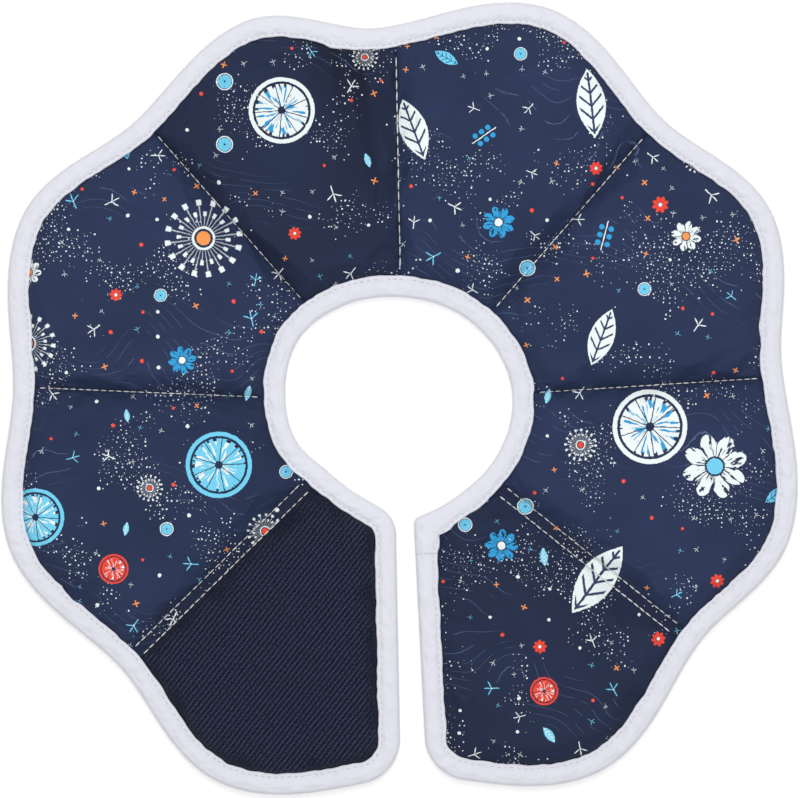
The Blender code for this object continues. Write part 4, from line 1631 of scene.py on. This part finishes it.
@dataclass
class SeamStitches:
    """The thread rows along the seams: one row in a seam, two beside a flat band."""

    outline: Outline
    thread: bpy.types.Material
    made: list[bpy.types.Object] = field(default_factory=list)

    def build(self) -> None:
        """Makes each row as its own piece."""
        s = self.outline.sizes
        for number, (name, rim_turn, neck_turn, banded, foot, pitch) in enumerate(SEAMS, start=1):
            start, out = self.outline.seam_line(rim_turn, neck_turn)
            side = Side(start, out, 1.0, 0.0, False)
            inner = s.band_width / 2.0 + 0.15 * MM
            for row, offset in enumerate((-inner, inner) if banded else (0.0,)):
                ends = [self.outline.crossing(self.outline.cuts[c], side, offset)[0] for c in ("neck", "rim")]
                reach = s.tape_width - 1.5 * MM
                way = unit(ends[1] - ends[0])
                line = evenly(np.array([ends[0] + way * reach, ends[1] - way * reach]), 1.0 * MM)
                level = np.full((len(line), 1), foot * MM + 0.40 * MM)
                stitches = Stitching(pitch=pitch * MM, seed=10 * number + row)
                piece = stitches.along(np.concatenate([line, level], axis=1))
                made = piece.piece(f"{name}_stitches_{row + 1}")
                self.made.append(worn(made, "binding_tape", self.thread))


@dataclass
class HookPatch:
    """The hook tape under the last petal: a woven base with rows of small hooks below it."""

    outline: Outline
    finish: bpy.types.Material
    width: float = 25.0 * MM
    length: float = 70.0 * MM
    start: float = 9.9 * MM
    base: float = 0.7 * MM
    rows: int = 44
    columns: int = 15
    hook_width: float = 0.30 * MM
    made: list[bpy.types.Object] = field(default_factory=list)

    def place(self, across: Array, along: Array) -> Array:
        """Plan positions on the patch, for shares of its width and length from -0.5 to 0.5."""
        edge = self.outline.runs["right"][::-1]
        out = unit(edge[-1] - edge[0])
        side = left_of(out)
        middle = (edge[0] + edge[-1]) / 2.0 + side * (self.start + self.width / 2.0)
        return middle + out * along[..., None] * self.length + side * across[..., None] * self.width

    def build(self) -> None:
        """Makes the base and the hooks, which hang from it down to the floor."""
        s = self.outline.sizes
        across, along = np.meshgrid(np.linspace(-0.5, 0.5, 25), np.linspace(-0.5, 0.5, 71))
        plan = self.place(across, along)
        top = np.full(across.shape, s.hook_sheet)
        sag = 0.06 * MM * Waves(12.0 * MM, 91).at(plan)
        low = top - self.base - 0.06 * MM + sag
        surface = closed_form(
            np.concatenate([plan, top[..., None]], axis=-1),
            np.concatenate([plan, low[..., None]], axis=-1),
            {},
        )
        base = worn(surface.piece("hook_cover"), "hook_tape", self.finish, self.finish)
        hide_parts("hook_patch")
        hooks = worn(self.hooks(s.hook_sheet - self.base).piece("hook_rows"), "hook_tape", self.finish)
        self.made += [base, hooks]

    def hooks(self, level: float) -> Surface:
        """All the hooks: each is a four-sided stalk that goes down and curls back in a half circle.

        Args:
            level: The height they hang from.

        Returns:
            The hooks as one surface.
        """
        across, along = np.meshgrid(
            np.linspace(-0.45, 0.45, self.columns), np.linspace(-0.48, 0.48, self.rows)
        )
        feet = self.place(across, along).reshape(-1, 2)
        side = unit(self.place(np.array(0.5), np.array(0.0)) - self.place(np.array(-0.5), np.array(0.0)))
        turn = np.linspace(0.0, 0.85 * np.pi, 5)
        curl = 0.22 * MM
        depth = level - 0.5 * self.hook_width - 0.03 * MM
        reach = np.concatenate([[0.0], curl * (1.0 - np.cos(turn))])
        drop = np.concatenate([[0.0], depth - curl + curl * np.sin(turn)])
        size = self.hook_width / 2.0 * np.linspace(1.1, 0.6, len(reach))
        facing = np.where(np.arange(len(feet)) % 2 == 0, 1.0, -1.0)
        centre = np.empty((len(feet), len(reach), 3))
        centre[..., :2] = feet[:, None] + facing[:, None, None] * reach[None, :, None] * side
        centre[..., 2] = level + 0.1 * MM - drop * (depth + 0.1 * MM) / depth
        corner = np.radians(np.arange(45.0, 360.0, 90.0))
        bend = np.concatenate([[0.0], turn])
        wide = np.stack([-side[1] * np.cos(corner), side[0] * np.cos(corner), np.zeros(4)], axis=-1)
        flat = np.sin(corner)[None, :, None] * np.stack(
            [side[0] * np.cos(bend), side[1] * np.cos(bend), -np.sin(bend)], axis=-1
        )[:, None]
        ring = size[:, None, None] * (wide[None] + flat)
        mirrored = size[:, None, None] * (wide[None] + flat * np.array([-1.0, -1.0, 1.0]))
        rings = np.where(facing[:, None, None, None] > 0.0, ring[None], mirrored[None])
        points = (centre[:, :, None] + rings).reshape(-1, 3)
        each = 4 * len(reach)
        base = (np.arange(len(feet)) * each)[:, None, None]
        tubes = (grid_quads(len(reach), 4, wrap=True)[None] + base).reshape(-1, 4)
        ends = (np.arange(4) + each - 4 + base[:, 0]).reshape(-1, 4)
        return Surface(points, [tubes, ends])


@dataclass
class Studio:
    """A plain pale floor, soft overhead light and a camera straight above."""

    outline: Outline
    height: float = 2.4
    picture: float = 0.36

    def build(self) -> None:
        """Makes the floor, the lights and the camera."""
        scene = bpy.context.scene
        scene.view_settings.view_transform = "Standard"
        span = 4.0
        corners = np.array([[-span, -span, 0.0], [span, -span, 0.0], [span, span, 0.0], [-span, span, 0.0]])
        floor = Surface(corners, [np.array([[0, 1, 2, 3]])]).piece("floor")
        graph = Graph("floor")
        floor.data.materials.append(graph.finish(Base_Color=(0.96, 0.96, 0.96), Roughness=1.0))
        world = bpy.data.worlds.new("studio")
        world.use_nodes = True
        world.node_tree.nodes["Background"].inputs["Color"].default_value = (1.0, 1.0, 1.0, 1.0)
        world.node_tree.nodes["Background"].inputs["Strength"].default_value = 0.36
        scene.world = world
        self.lamp("key", (0.05, 0.95, 1.55), 1.0, 10.0)
        self.lamp("top", (0.0, -0.10, 2.0), 0.9, 22.0)
        camera = bpy.data.objects.new("camera", bpy.data.cameras.new("camera"))
        camera.data.lens = self.height / self.picture * 36.0
        camera.data.clip_end = 20.0
        camera.location = (0.0002, -0.0002, self.height + 0.006)
        scene.collection.objects.link(camera)
        scene.camera = camera

    def lamp(self, name: str, place: tuple[float, float, float], size: float, power: float) -> None:
        """One soft square light that faces the collar.

        Args:
            name: Its name.
            place: Where it hangs.
            size: The length of its side.
            power: Its power in watts.
        """
        light = bpy.data.lights.new(name, "AREA")
        light.energy, light.size = power, size
        lamp = bpy.data.objects.new(name, light)
        lamp.location = place
        x, y, z = place
        lamp.rotation_euler = (np.arctan2(np.hypot(x, y), z), 0.0, np.arctan2(x, -y))
        bpy.context.scene.collection.objects.link(lamp)


def main() -> None:
    logging.basicConfig(level=logging.INFO, format="%(message)s")
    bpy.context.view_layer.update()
    outline = Outline(Sizes())
    cloth, back, loop = PrintedCloth().material(), BackCloth().material(), LoopCloth().material()
    thread = Thread().material()
    tape_thread = Thread("tape_thread", (0.74, 0.74, 0.79)).material()
    Studio(outline).build()
    assemblies = (
        Petals(outline, cloth, back, loop),
        SeamBands(outline, cloth, back),
        Binding(outline, BindingTape().material(), tape_thread),
        SeamStitches(outline, thread),
        HookPatch(outline, HookTape().material()),
    )
    for assembly in assemblies:
        assembly.build()
        for piece in assembly.made:
            LOG.info("%s: %d faces", piece.name, len(piece.data.polygons))
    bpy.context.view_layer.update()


if __name__ == "__main__":
    main()
